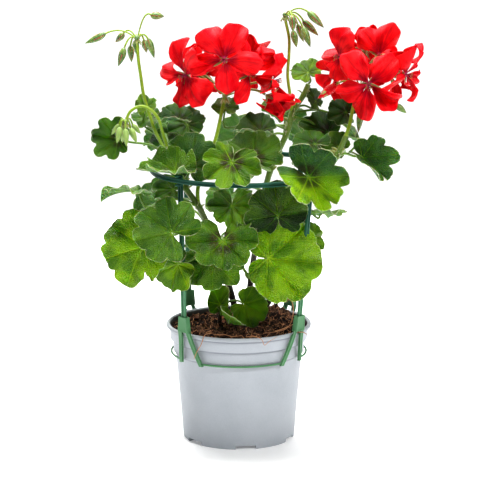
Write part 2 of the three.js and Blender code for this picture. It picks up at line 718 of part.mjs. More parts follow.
    peduncles: [],
  },
];

const UMBELS = [
  {
    name: "bloom_left",
    stem: 0,
    hub: [-11, -5, 287],
    flowers: [
      { at: [-41, -14, 309], yaw: -36, pitch: 10, tip: 12, size: 23 },
      { at: [-9, -37, 317], yaw: 0, pitch: 8, tip: 5, size: 26 },
      { at: [11, -16, 323], yaw: 38, pitch: 25, tip: 20, size: 21 },
      { at: [35, -14, 308], yaw: 70, pitch: 10, tip: 10, size: 18 },
      { at: [23, -18, 287], yaw: 72, pitch: -40, size: 24, open: 0.5 },
      { at: [-37, 13, 319], yaw: -130, pitch: 20, tip: -20 },
      { at: [12, 18, 321], yaw: 145, pitch: 30, tip: 0 },
      { at: [-14, 33, 304], yaw: 180, pitch: 0, tip: 0, size: 19 },
    ],
  },
  {
    name: "bloom_right",
    stem: 2,
    hub: [99, -4, 293],
    flowers: [
      { at: [104, -31, 300], yaw: 0, pitch: -4, tip: 8, size: 25 },
      { at: [80, -14, 322], yaw: -30, pitch: 15, tip: -5, size: 22 },
      { at: [113, -8, 324], yaw: 15, pitch: 40, tip: 5, size: 21 },
      { at: [133, -6, 307], yaw: 66, pitch: 5, tip: 8, size: 23 },
      { at: [104, 27, 320], yaw: 175, pitch: 30, tip: 0, size: 20 },
      { at: [125, 24, 299], yaw: 140, pitch: 5, tip: 0, size: 18 },
      { at: [80, 14, 302], yaw: -140, pitch: 0, size: 18 },
    ],
  },
];

const BUD_CLUSTERS = [
  {
    stem: 0,
    hub: [-82, -4, 334],
    buds: [
      { base: [-107, -6, 338], tip: [-124, -8, 330], wide: 3 },
      { base: [-71, -2, 352], tip: [-60, 0, 351], wide: 3.2 },
      { base: [-93, 4, 337], tip: [-100, 6, 329] },
      { base: [-92, -10, 327], tip: [-97, -12, 312], wide: 3 },
      { base: [-88, 4, 327], tip: [-87, 5, 313] },
      { base: [-84, 10, 329], tip: [-83, 13, 318] },
      { base: [-77, 8, 331], tip: [-75, 10, 320] },
      { base: [-73, -6, 334], tip: [-68, -8, 318], wide: 2.8 },
    ],
  },
  {
    stem: 1,
    hub: [38, 3, 352],
    buds: [
      { base: [56, 0, 355], tip: [69, -2, 342], wide: 3.2 },
      { base: [52, 8, 347], tip: [65, 10, 334], wide: 3 },
      { base: [52, -6, 343], tip: [58, -8, 327], wide: 3 },
      { base: [43, -10, 353], tip: [44, -12, 340], wide: 3 },
      { base: [44, -2, 340], tip: [47, -2, 326], wide: 2.8 },
      { base: [48, 14, 343], tip: [53, 16, 328] },
    ],
  },
  {
    stem: 0,
    hub: [-91, -24, 269],
    buds: [
      { base: [-96, -27, 264], tip: [-100, -29, 253], wide: 2 },
      { base: [-91, -29, 263], tip: [-90, -33, 251], wide: 2.2 },
      { base: [-86, -26, 263], tip: [-80, -28, 254], wide: 2.2 },
      { base: [-97, -20, 266], tip: [-106, -18, 261], wide: 1.6 },
    ],
  },
];

function pointOn(path, at) {
  const before = Math.floor(at);
  return vec(path[before]).lerp(vec(path[Math.min(before + 1, path.length - 1)]), at - before);
}

function makeStemPieces(stem, index) {
  const green = [rod(stem.path, stem.radius, 6, stem.path.length + 2)];
  for (const leaf of stem.leaves) {
    green.push(makeBlade(leaf));
    green.push(makePetiole(pointOn(stem.path, leaf.from), leaf));
  }
  for (const { from, radius, path } of stem.peduncles)
    green.push(rod([pointOn(stem.path, from).toArray(), ...path], radius, 5, path.length + 1));
  for (const { hub, buds } of BUD_CLUSTERS.filter((c) => c.stem === index))
    green.push(makeHub(hub), ...buds.map((bud) => makeBud(vec(hub), bud)));
  for (const { hub, flowers } of UMBELS.filter((u) => u.stem === index))
    green.push(makeHub(hub), ...flowers.map((f) => makeFlowerStalk(vec(hub), makeFlower(f).flower)));
  return green;
}

function makeStemHole({ path, radius }) {
  const [x, y, z] = path[0];
  const clear = radius + STEM_HOLE;
  const depth = 60; // past the top of the heap
  const hole = new THREE.CylinderGeometry(clear, clear, depth, 10).rotateX(Math.PI / 2);
  return toSolid(hole.translate(x, y, z - STEM_HOLE + depth / 2));
}

const geranium = new THREE.Group();
geranium.add(makePot(), makeSoil(STEMS.map(makeStemHole)), makeClip(), makeHoop());
SUPPORT.forks.forEach((turn, k) => geranium.add(makeStake(turn, SUPPORT.names[k])));
STEMS.forEach((stem, k) => geranium.add(toMesh(stem.name, join(makeStemPieces(stem, k)), leafGreen)));
for (const { name, flowers } of UMBELS) {
  flowers.forEach((given, k) => {
    geranium.add(toMesh(name + "_" + (k + 1), makeFlower(given).red, petalRed));
  });
}

export default geranium;
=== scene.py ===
# %% [markdown]
# # A potted zonal geranium
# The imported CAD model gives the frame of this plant: its pot, its clip-on support, four shoots and
# fifteen open flowers, each as plain solids. This lesson dresses them. Every piece is modelled in the
# CAD's frame, in metres, with +Z up and the front facing -Y, and then stands for its CAD node.

# %% Load the frame
import math
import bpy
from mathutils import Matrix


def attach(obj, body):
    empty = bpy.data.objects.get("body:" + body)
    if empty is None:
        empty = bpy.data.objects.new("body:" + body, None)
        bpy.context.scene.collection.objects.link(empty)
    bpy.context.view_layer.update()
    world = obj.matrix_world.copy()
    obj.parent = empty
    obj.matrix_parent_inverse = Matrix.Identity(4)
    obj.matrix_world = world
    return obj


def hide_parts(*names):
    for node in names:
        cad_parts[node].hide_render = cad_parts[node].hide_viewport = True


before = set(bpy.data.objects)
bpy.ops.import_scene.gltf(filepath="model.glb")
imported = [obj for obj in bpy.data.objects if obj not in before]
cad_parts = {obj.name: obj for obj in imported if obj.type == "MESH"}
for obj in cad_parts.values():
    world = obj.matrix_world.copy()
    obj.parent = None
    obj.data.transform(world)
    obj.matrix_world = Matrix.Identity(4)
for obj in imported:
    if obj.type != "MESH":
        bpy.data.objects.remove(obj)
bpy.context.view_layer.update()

from types import SimpleNamespace

import bmesh
import bpy
import numpy as np
from mathutils import Matrix, Vector, noise

MM = 0.001
ROUND = 6.28  # a full turn in radians, near enough for a random phase

# %% [markdown]
# ## Small helpers
# Blender's operators act on whatever is selected, so each piece starts from a clean selection. A few
# helpers keep that in one place: they select, apply a modifier, join pieces and hand a piece to the frame.

# %% Selection, modifiers and hand-over


def select_only(*objects):
    if bpy.context.mode != "OBJECT":
        bpy.ops.object.mode_set(mode="OBJECT")
    bpy.ops.object.select_all(action="DESELECT")
    for obj in objects:
        obj.select_set(True)
    if objects:
        bpy.context.view_layer.objects.active = objects[0]


def apply_modifier(obj, kind, **settings):
    select_only(obj)
    modifier = obj.modifiers.new(kind.title(), kind)
    for name, value in settings.items():
        setattr(modifier, name, value)
    bpy.ops.object.modifier_apply(modifier=modifier.name)


def place_in_mesh(obj):
    select_only(obj)
    bpy.ops.object.transform_apply(location=True, rotation=True, scale=True)


def join_pieces(name, objects):
    select_only(*objects)
    if len(objects) > 1:
        bpy.ops.object.join()
    whole = objects[0]
    whole.name = whole.data.name = name
    return whole


def smooth(obj, degrees):
    select_only(obj)
    bpy.ops.object.shade_smooth_by_angle(angle=math.radians(degrees))


def paint(obj, *materials):
    obj.data.materials.clear()
    for material in materials:
        obj.data.materials.append(material)


def hand_over(obj, slot, *nodes):
    """The object goes to the frame as one piece that takes the place of its CAD nodes."""
    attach(obj, "root")
    if nodes:
        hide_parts(*nodes)
    print(f"{obj.name}: {len(obj.data.polygons)} faces")


def edit_all(obj):
    select_only(obj)
    bpy.ops.object.mode_set(mode="EDIT")
    bpy.ops.mesh.select_all(action="SELECT")


def pick(obj, kind, wanted):
    """Selects the faces, edges or verts of the mesh in edit mode for which wanted is true."""
    bpy.ops.mesh.select_mode(type=kind[:-1].upper())
    bpy.ops.mesh.select_all(action="DESELECT")
    mesh = bmesh.from_edit_mesh(obj.data)
    for part in getattr(mesh, kind):
        if wanted(part):
            part.select_set(True)
    bmesh.update_edit_mesh(obj.data)


def leave_edit():
    bpy.ops.object.mode_set(mode="OBJECT")


def finish_closed():
    """Ends the edit of a closed piece with all its faces turned outwards."""
    bpy.ops.mesh.select_all(action="SELECT")
    bpy.ops.mesh.normals_make_consistent(inside=False)
    leave_edit()


def mesh_object(name, points, faces):
    """A new object from an array of points, in mm, and its faces."""
    mesh = bpy.data.meshes.new(name)
    mesh.from_pydata(points * MM, [], faces)
    obj = bpy.data.objects.new(name, mesh)
    bpy.context.collection.objects.link(obj)
    return obj


def put_points(obj, points):
    """Moves an object's points to places in mm, and names its UV map for what it now holds: a plan."""
    obj.data.vertices.foreach_set("co", (points * MM).ravel())
    obj.data.uv_layers[0].name = "plan"


def flat_sheet(rings, columns):
    """A grid to be shaped. Each of its points has a share of the way along and a place across, -1 to 1."""
    bpy.ops.mesh.primitive_grid_add(x_subdivisions=rings, y_subdivisions=columns, size=1)
    flat = np.array([v.co for v in bpy.context.object.data.vertices])
    return bpy.context.object, flat[:, 0] + 0.5, flat[:, 1] * 2


print("helpers ready")

# %% [markdown]
# ## A short way to write node trees
# Materials here are all built from nodes. Writing each node in four lines would hide the idea of the
# material, so a small class adds nodes, fills their inputs in order and returns the socket to use next.

# %% Node helper


class Wires:
    """Adds nodes to a tree. An input may be a number, a colour, a vector or another node's output."""

    def __init__(self, tree):
        self.tree = tree

    def put(self, kind, *inputs, **settings):
        node = self.tree.nodes.new("ShaderNode" + kind)
        for name, value in settings.items():
            setattr(node, name, value)
        for socket, value in zip([s for s in node.inputs if s.enabled], inputs):
            self.feed(socket, value)
        return node

    def feed(self, socket, value):
        if isinstance(value, bpy.types.NodeSocket):
            self.tree.links.new(value, socket)
        elif socket.type == "RGBA" and len(value) == 3:
            socket.default_value = (*value, 1)
        else:
            socket.default_value = value

    def math(self, operation, *inputs):
        return self.put("Math", *inputs, operation=operation).outputs[0]

    def plus(self, a, b):
        return self.math("ADD", a, b)

    def minus(self, a, b):
        return self.math("SUBTRACT", a, b)

    def times(self, a, b):
        return self.math("MULTIPLY", a, b)

    def most(self, a, b):
        return self.math("MAXIMUM", a, b)

    def off(self, value, middle):
        """How far the value is from the middle."""
        return self.math("ABSOLUTE", self.minus(value, middle))

    def vector(self, operation, *inputs):
        return self.put("VectorMath", *inputs, operation=operation).outputs[0]

    def axes(self, vector):
        return self.put("SeparateXYZ", vector).outputs

    def rise(self, value, low, high):
        """0 below low and 1 above high, with soft ends."""
        return self.put("MapRange", value, low, high, 0, 1, interpolation_type="SMOOTHSTEP").outputs[0]

    def fall(self, value, low, high):
        return self.minus(1, self.rise(value, low, high))

    def mix(self, factor, a, b, blend="MIX"):
        node = self.tree.nodes.new("ShaderNodeMix")
        node.data_type = "RGBA"
        node.blend_type = blend
        for index, value in ((0, factor), (6, a), (7, b)):
            self.feed(node.inputs[index], value)
        return node.outputs[2]

    def noise(self, vector, scale, detail=3, roughness=0.55):
        return self.put("TexNoise", vector, scale, detail, roughness, noise_dimensions="3D").outputs[0]

    def length(self, vector):
        return self.put("VectorMath", vector, operation="LENGTH").outputs["Value"]

    def bump(self, height, distance):
        node = self.put("Bump")
        self.feed(node.inputs["Distance"], distance)
        self.feed(node.inputs["Height"], height)
        return node.outputs[0]


def socket_name(label):
    return label.replace("_", " ").title().replace("Ior", "IOR")


def new_material(name, roughness=0.5, **shader):
    """A material with one Principled shader. Values that don't change over the surface sit on its sockets."""
    material = bpy.data.materials.new(name)
    material.use_nodes = True
    wires = Wires(material.node_tree)
    principled = material.node_tree.nodes["Principled BSDF"]
    principled.inputs["Roughness"].default_value = roughness
    for socket, value in shader.items():
        principled.inputs[socket_name(socket)].default_value = value
    return material, wires, principled


def connect(wires, principled, **sources):
    for socket, value in sources.items():
        wires.feed(principled.inputs[socket_name(socket)], value)


def object_place(wires):
    return wires.put("TexCoord").outputs["Object"]


def plan_place(wires):
    """Where a point lies on the flat plan of its blade, bud or petal."""
    return wires.put("UVMap", uv_map="plan").outputs[0]


def two_tone(name, scale, detail, dark, light, edges=None, **shader):
    """A material that drifts between two tones by noise, and changes faster if it gets edges."""
    material, wires, principled = new_material(name, **shader)
    cloud = wires.noise(object_place(wires), scale, detail)
    if edges:
        cloud = wires.rise(cloud, *edges)
    connect(wires, principled, base_color=wires.mix(cloud, dark, light))
    return material


def new_group(name, inputs, outputs):
    group = bpy.data.node_groups.new(name, "ShaderNodeTree")
    for label, kind in inputs:
        group.interface.new_socket(label, in_out="INPUT", socket_type="NodeSocket" + kind)
    for label in outputs.split():
        group.interface.new_socket(label, in_out="OUTPUT", socket_type="NodeSocketFloat")
    return group, group.nodes.new("NodeGroupInput"), group.nodes.new("NodeGroupOutput")


def send_out(wires, leaving, **values):
    for label, value in values.items():
        wires.feed(leaving.inputs[label], value)


def use_group(wires, group, **inputs):
    node = wires.tree.nodes.new("ShaderNodeGroup")
    node.node_tree = group
    for label, value in inputs.items():
        wires.feed(node.inputs[label], value)
    return node.outputs


print("node helpers ready")

# %% [markdown]
# ## Studio: camera, floor and light
# The photograph is a packshot: a long lens a little above the plant, a white sweep and soft light from
# large boxes. The lens and the height were worked out from the ellipses of the pot's lip and the hoop.
# The floor is a wide pale disc, so that the plant can be seen from every side.

# %% Camera
AIM = Vector((0.00932, 0, 0.1577))  # what the picture's middle looks at
DISTANCE = 2.06186
ELEVATION = math.radians(12.3)
BACK = Vector((0, -math.cos(ELEVATION), math.sin(ELEVATION)))

select_only()
bpy.ops.object.camera_add(location=AIM + BACK * DISTANCE)
camera = bpy.context.object
camera.name = "photo_camera"
camera.rotation_euler = (-BACK).to_track_quat("-Z", "Y").to_euler()
camera.data.lens = 180
camera.data.sensor_width = 36
camera.data.clip_end = 50
bpy.context.scene.camera = camera
print("camera at", [round(x, 3) for x in camera.location])

# %% Floor and lights
FLOOR_RADIUS = 0.95
LIT_HEIGHT = 0.18  # the soft boxes point at this height of the plant


def soft_box(name, place, size, power):
    bpy.ops.object.light_add(type="AREA", location=place)
    light = bpy.context.object
    light.name = name
    light.data.shape = "SQUARE"
    light.data.size = size
    light.data.energy = power
    light.rotation_euler = (Vector((0, 0, LIT_HEIGHT)) - Vector(place)).to_track_quat("-Z", "Y").to_euler()


bpy.ops.mesh.primitive_circle_add(vertices=96, radius=FLOOR_RADIUS, fill_type="TRIFAN")
floor = bpy.context.object
floor.name = "floor"
studio_white = two_tone(
    "studio_white", 1.2, 3, (0.9, 0.9, 0.905), (0.93, 0.93, 0.935),
    roughness=0.9, emission_color=(1, 1, 1, 1), emission_strength=0.14,
)
paint(floor, studio_white)
soft_box("key_box", (1.0, -1.4, 1.4), size=0.4, power=24)
soft_box("fill_box", (-1.5, -1.3, 0.8), size=0.6, power=5)
soft_box("top_box", (0, 0.4, 2.0), size=1.2, power=87)
soft_box("back_box", (-0.8, 1.6, 1.1), size=1.3, power=26)

SURROUND_LIGHT = 0.03  # what the white surround gives as light
SURROUND_SEEN = 1.0  # what the camera sees of it
SURROUND_SHINE = 0.14  # what glossy surfaces mirror of it
world = bpy.data.worlds.new("studio")
bpy.context.scene.world = world
world.use_nodes = True
background = world.node_tree.nodes["Background"]
wires = Wires(world.node_tree)
rays = wires.put("LightPath").outputs
level = SURROUND_LIGHT
for ray, amount in (("Is Glossy Ray", SURROUND_SHINE), ("Is Camera Ray", SURROUND_SEEN)):
    level = wires.put("MapRange", rays[ray], 0, 1, level, amount).outputs[0]
wires.feed(background.inputs["Strength"], level)
background.inputs["Color"].default_value = (1, 1, 1, 1)
bpy.context.scene.view_settings.view_transform = "Standard"
bpy.context.scene.view_settings.look = "Medium High Contrast"
print("four soft boxes and a white surround")

# %% [markdown]
# ## Moulded plastic
# The pot, the clip and the stakes are moulded. Plastic is never one flat colour: flow lines, dust and
# scuffs change its tone and gloss a little. One node group gives that wear and each plastic sets its own
# amounts. Specks are small islands of a Voronoi pattern, kept to a few by a threshold.

# %% Plastic wear group
plastic_wear, entry, leaving = new_group(
    "plastic_wear", [("Grain", "Float"), ("Speck", "Float")], "Tone Gloss Height Specks"
)
wires = Wires(plastic_wear)
place = object_place(wires)
broad = wires.noise(place, 28, 3)
fine = wires.noise(place, entry.outputs["Grain"], 3)
tone = wires.plus(wires.times(broad, 0.7), wires.times(fine, 0.3))
cells = wires.put("TexVoronoi", place, 190, voronoi_dimensions="3D", feature="F1")
chosen = wires.rise(cells.outputs["Color"], 0.86, 0.9)
dot = wires.fall(cells.outputs["Distance"], 0.04, 0.13)
specks = wires.times(wires.times(dot, chosen), entry.outputs["Speck"])
gloss = wires.plus(0.42, wires.times(broad, 0.22))
send_out(wires, leaving, Tone=tone, Gloss=gloss, Height=fine, Specks=specks)
print("plastic wear group:", len(plastic_wear.nodes), "nodes")

# %% The three plastics


def plastic(name, dark, light, speck_colour, grain, speck, height, shade_painter=None):
    """Grain is the finest scale of the wear, speck the strength of its specks and height its relief in
    metres. The shade painter, if given, paints shade over the worn colour: it gets the wires, the colour and
    the place."""
    material, wires, principled = new_material(name, specular_ior_level=0.3)
    wear = use_group(wires, plastic_wear, Grain=grain, Speck=speck)
    colour = wires.mix(wires.rise(wear["Tone"], 0.3, 0.7), dark, light)
    if shade_painter:
        colour = shade_painter(wires, colour, object_place(wires))
    colour = wires.mix(wear["Specks"], colour, speck_colour)
    relief = wires.bump(wear["Height"], height)
    connect(wires, principled, base_color=colour, roughness=wear["Gloss"], normal=relief)
    return material


POT_STEPS = (0.094, 0.0844, 0.0735)  # undersides of the lip and of the two bands


def painted_step_and_inner_shade(wires, colour, place):
    """Painted shade under each step, and painted shade with some damp staining on the wall inside the lip."""
    z = wires.axes(place)["Z"]
    for step in POT_STEPS:
        # Painted shade: a dark bluish line just under each step.
        below = wires.rise(z, step - 0.0024, step - 0.0006)
        under = wires.times(below, wires.fall(z, step - 0.0001, step + 0.0004))
        colour = wires.mix(wires.times(under, 0.6), colour, (0.16, 0.17, 0.2))
    # Painted shade, with some damp staining: the wall inside the lip, down to the compost, turns near black.
    radius = wires.length(wires.vector("MULTIPLY", place, (1, 1, 0)))
    in_lip = wires.times(wires.rise(z, 0.0938, 0.0944), 0.0012)  # the lip is wider inside
    inside = wires.fall(wires.minus(radius, in_lip), 0.0561, 0.0565)
    level = wires.plus(z, wires.times(wires.noise(place, 160, 4), 0.0016))  # an uneven line
    inside = wires.times(inside, wires.fall(level, 0.0963, 0.0975))
    inside = wires.times(inside, wires.rise(z, 0.0848, 0.0862))
    return wires.mix(wires.times(inside, 0.93), colour, (0.03, 0.025, 0.023))


def painted_shade_upwards(wires, colour, place):
    """Painted shade: the stakes, and the hoop above them, turn a darker, bluer green towards the top."""
    level = wires.plus(wires.axes(place)["Z"], wires.times(wires.noise(place, 30, 2), 0.03))
    return wires.mix(wires.rise(level, 0.13, 0.23), colour, (0.014, 0.085, 0.055))


pot_grey = plastic(
    "pot_grey", (0.355, 0.38, 0.41), (0.41, 0.435, 0.465), (0.2, 0.13, 0.1), 900, 0.9, 0.00006, painted_step_and_inner_shade
)
clip_green = plastic(
    "clip_green", (0.065, 0.185, 0.085), (0.11, 0.265, 0.125), (0.06, 0.05, 0.03), 1400, 0.5, 0.00005
)
stake_green = plastic(
    "stake_green", (0.05, 0.165, 0.085), (0.1, 0.25, 0.135), (0.25, 0.35, 0.28), 1400, 0.3, 0.00005,
    painted_shade_upwards,
)
print("plastics:", pot_grey.name, clip_green.name, stake_green.name)

# %% [markdown]
# ## The pot
# A grower's pot is one thin moulded shell: a rolled lip, two stepped bands, a slightly tapered wall and a
# foot cut by drainage notches. On a real pot all of that is turned round one axis, so a ring of edges is
# extruded through the wall's outline, the way a lathe would follow it. The notches are cut afterwards.

# %% Pot sizes, in mm
# They are the CAD's, but the wall below the bands is 1 to 1.4 mm wider, as the photograph's outline asks.
POT = SimpleNamespace(
    height=97, lip=60, lip_height=3, collar=57.1, collar_foot=84.4, band=54.1, band_foot=73.5,
    wall_top=52.4, base=46.2, wall=1.2, channel_in=20, channel_out=41, channel_height=3.2,
    notches=6, notch_width=18, notch_turn=math.radians(7.7),
)
POT_SIDES = 160


def polar(radius, turn, z):
    """A point turned from the front towards +X, in mm."""
    return Vector((radius * math.sin(turn), -radius * math.cos(turn), z))


def extrude_ring(start, profile):
    """Extrudes the selected ring of edges, at start, through each radius and height of the profile."""
    radius, height = start
    for next_radius, next_height in profile:
        bpy.ops.mesh.extrude_edges_move(
            TRANSFORM_OT_translate={"value": (0, 0, (next_height - height) * MM)}
        )
        share = next_radius / radius
        bpy.ops.transform.resize(value=(share, share, 1), center_override=(0, 0, next_height * MM))
        radius, height = next_radius, next_height


print("pot:", POT.height, "mm high and", 2 * POT.lip, "mm over the lip")

# %% Turn the pot
lip_foot = POT.height - POT.lip_height
collar_inside = POT.collar - POT.wall
band_inside = POT.band - POT.wall
floor_top = POT.channel_height + POT.wall
outside = [
    (POT.channel_in + 1.5, POT.channel_height),
    (POT.channel_out - 1.5, POT.channel_height),
    (POT.channel_out, 0),
    (POT.base - 0.6, 0),
    (POT.base, 0.6),
    (POT.wall_top, POT.band_foot - 1),
    (POT.band - 0.4, POT.band_foot - 0.3),
    (POT.band, POT.band_foot + 0.3),
    (POT.band + 0.2, POT.collar_foot - 0.8),
    (POT.collar - 0.4, POT.collar_foot - 0.3),
    (POT.collar, POT.collar_foot + 0.3),
    (POT.collar + 0.3, lip_foot - 0.8),
    (POT.collar + 0.9, lip_foot),
    (POT.lip - 0.5, lip_foot),
    (POT.lip, lip_foot + 0.5),
    (POT.lip, POT.height - 1),
    (POT.lip - 0.4, POT.height - 0.35),
    (POT.lip - 1.1, POT.height),
    (POT.lip - 2.4, POT.height),
    (POT.lip - 3, POT.height - 0.5),
    (collar_inside, lip_foot),
]
inside = [
    (collar_inside, POT.collar_foot + 0.8),
    (band_inside, POT.collar_foot - 0.8),
    (band_inside, POT.band_foot + 0.6),
    (POT.wall_top - POT.wall, POT.band_foot - 1),
    (POT.base - POT.wall, floor_top),
    (0.5, floor_top),
]
select_only()
bpy.ops.mesh.primitive_circle_add(vertices=POT_SIDES, radius=POT.channel_in * MM, fill_type="TRIFAN")
pot = bpy.context.object
edit_all(pot)
pick(pot, "edges", lambda e: e.is_boundary)
extrude_ring((POT.channel_in, 0), outside + inside)
bpy.ops.mesh.merge(type="CENTER")
finish_closed()
print("pot turned:", len(pot.data.vertices), "points")

# %% Cut the drainage notches
select_only()
cutters = []
for k in range(POT.notches):
    turn = POT.notch_turn + k * 2 * math.pi / POT.notches
    for radius, width, depth, height in (
        (POT.base, POT.notch_width, 2 * (POT.base - POT.channel_out) + 6, POT.channel_height),
        (POT.channel_out - 5, POT.notch_width / 2, 5, 2 * POT.channel_height),
    ):
        place = polar(radius, turn, 0) * MM
        bpy.ops.mesh.primitive_cube_add(size=1, location=place, rotation=(0, 0, turn))
        cutter = bpy.context.object
        cutter.scale = (width * MM, depth * MM, 2 * height * MM)
        place_in_mesh(cutter)
        edit_all(cutter)
        pick(cutter, "verts", lambda v: v.co.z > 0)
        bpy.ops.transform.resize(value=(0.9, 0.9, 1), center_override=polar(radius, turn, height) * MM)
        leave_edit()
        cutters.append(cutter)
cutter = join_pieces("notch_cutter", cutters)
apply_modifier(pot, "BOOLEAN", operation="DIFFERENCE", object=cutter, solver="EXACT")
bpy.data.objects.remove(cutter)
pot.name = pot.data.name = "pot_shell"
smooth(pot, 32)
paint(pot, pot_grey)
hand_over(pot, "grey_plastic", "pot")

# %% [markdown]
# ## The clip-on support
# Four forks straddle the pot's lip. Each has a block with a socket for its stake and two legs that spread
# down to a thin band under the collar. Moulded parts are hollowed on their outer faces. On the blocks and
# the stakes that is done by insetting a face and pushing it in. The legs are grooved in their section.

# %% Support sizes, in mm
# They are the CAD's, but the stakes and their fingers are slimmer by up to 0.6 mm.
CLIP = SimpleNamespace(
    forks=[math.radians(a) for a in (-44, 50, 137, -138)], leg_splay=math.radians(11.7), leg_width=3.8,
    leg_thickness=2, foot_radius=56.6, foot_height=72.7, shoulder_radius=63.4, shoulder_foot=99.6,
    shoulder_height=13, shoulder_width=10.8, shoulder_thickness=4.8, seat=2.5, crotch_width=4.6,
    band_radius=55.9, band_section=1.8, stake_width=4.4, stake_depth=2.3, groove_width=1.5, groove_depth=0.9,
    finger_width=3.2, finger_thickness=1.5, finger_offset=1.35, hoop_centre=3.5, hoop_radius=75,
    hoop_height=226, hoop_tall=3.8, hoop_deep=2.4, gap=0.35,
)


def hoop_point(turn):
    inside = CLIP.hoop_radius - CLIP.hoop_deep / 2 - 2 * CLIP.gap - 1.2
    return polar(inside, turn, CLIP.hoop_height) + Vector((CLIP.hoop_centre, 0, 0))


def fork_place(turn):
    """The frame of a fork: x round the pot, y outwards, z up its leaning stake. Also the stake's length."""
    foot = polar(CLIP.shoulder_radius, turn, CLIP.shoulder_foot)
    up = (hoop_point(turn) - foot).normalized()
    across = Vector((math.cos(turn), math.sin(turn), 0))
    out = -up.cross(across).normalized()
    along = out.cross(up)
    place = Matrix((along, out, up)).transposed().to_4x4()
    place.translation = foot * MM
    return place, (hoop_point(turn) - foot).length


def bar(place, centre, size, hollow=None):
    """A moulded bar in a frame, in mm. Its outer face may be hollowed by (margin, depth)."""
    select_only()
    bpy.ops.mesh.primitive_cube_add(size=1)
    piece = bpy.context.object
    piece.data.transform(Matrix.Diagonal((*[s * MM for s in size], 1)))
    if hollow:
        margin, depth = hollow
        edit_all(piece)
        pick(piece, "faces", lambda f: f.normal.y > 0.9)
        bpy.ops.mesh.inset(thickness=margin * MM)
        bpy.ops.mesh.extrude_region_move(TRANSFORM_OT_translate={"value": (0, -depth * MM, 0)})
        leave_edit()
    piece.data.transform(place @ Matrix.Translation(Vector(centre) * MM))
    return piece


def cut(piece, place, centre, size):
    cutter = bar(place, centre, size)
    apply_modifier(piece, "BOOLEAN", operation="DIFFERENCE", object=cutter, solver="EXACT")
    bpy.data.objects.remove(cutter)


SHARP = 40  # an edge that turns by more degrees is softened, and stays an edge in the shading


def soften(piece, width):
    limit = math.radians(SHARP)
    apply_modifier(piece, "BEVEL", width=width * MM, segments=2, limit_method="ANGLE", angle_limit=limit)
    smooth(piece, SHARP)


print("support:", len(CLIP.forks), "forks, hoop", 2 * CLIP.hoop_radius, "mm across")

# %% Forks
LEG_STEPS = 6


def model_leg(turn, side):
    """A leg is a section drawn out step by step along its bend, from under the shoulder to the band."""
    spread = side * (CLIP.crotch_width + CLIP.leg_width) / 2 / CLIP.shoulder_radius
    reach = side * CLIP.leg_splay - spread
    half, deep = CLIP.leg_width / 2, CLIP.leg_thickness / 2
    top_radius, top = CLIP.shoulder_radius + 0.3, CLIP.shoulder_foot + 1
    rings = []
    for k in range(LEG_STEPS + 1):
        t = k / LEG_STEPS
        angle = turn + spread + reach * t ** (1.5 if side * turn < 0 else 1.15)
        radius = top_radius + (CLIP.foot_radius - top_radius) * t**0.9
        height = top - (top - CLIP.foot_height + half) * t
        out = polar(1, angle, 0)
        across = Vector((math.cos(angle), math.sin(angle), 0))
        middle = polar(radius, angle, height)
        wide = half * (1.08 - 0.16 * t)
        groove = 0.45 if 0 < k < LEG_STEPS else 0
        ring = [(-wide, -deep), (wide, -deep), (wide, deep), (0.45 * wide, deep)]
        ring += [(0.4 * wide, deep - groove), (-0.4 * wide, deep - groove)]
        ring += [(-0.45 * wide, deep), (-wide, deep)]
        rings.append([middle + across * x + out * y for x, y in ring])
    return loft(rings)


def loft(rings):
    """A closed solid through rings of points, in mm: a first ring, extruded and moved into each next one."""
    select_only()
    bpy.ops.mesh.primitive_circle_add(vertices=len(rings[0]), radius=1, fill_type="NGON")
    piece = bpy.context.object
    for v, place in zip(piece.data.vertices, rings[0]):
        v.co = place * MM
    edit_all(piece)
    for ring in rings[1:]:
        bpy.ops.mesh.extrude_region_move()
        mesh = bmesh.from_edit_mesh(piece.data)
        mesh.verts.ensure_lookup_table()
        for v, place in zip(mesh.verts[-len(ring):], ring):
            v.co = place * MM
        bmesh.update_edit_mesh(piece.data)
    finish_closed()
    return piece


def model_fork(turn):
    """The shoulder widens downwards, is hollowed in front and on top, and has a socket for its stake."""
    place, _ = fork_place(turn)
    height, width, deep = CLIP.shoulder_height, CLIP.shoulder_width / 2, CLIP.shoulder_thickness / 2
    block = bar(place, (0, 0, height / 2), (2 * width, 2 * deep, height))
    block.data.transform(place.inverted())
    edit_all(block)
    pick(block, "verts", lambda v: v.co.z > height / 2 * MM)
    bpy.ops.transform.resize(value=(0.84, 0.86, 1), center_override=(0, 0, height * MM))
    pick(block, "faces", lambda f: f.normal.y > 0.9)
    bpy.ops.mesh.inset(thickness=1.0 * MM)
    bpy.ops.mesh.inset(thickness=0.35 * MM, depth=-0.35 * MM)
    pick(block, "faces", lambda f: f.normal.z > 0.9)
    bpy.ops.mesh.inset(thickness=1.3 * MM, depth=-1.2 * MM)
    leave_edit()
    block.data.transform(place)
    seat = height / 2 + CLIP.seat
    cut(block, place, (0, 0, seat), (CLIP.stake_width + 0.5, CLIP.stake_depth + 0.5, height))
    pieces = [block, model_leg(turn, -1), model_leg(turn, 1)]
    for piece in pieces:
        soften(piece, 0.3)
    return pieces


forks = [piece for turn in CLIP.forks for piece in model_fork(turn)]
print("forks:", len(forks), "moulded bars")

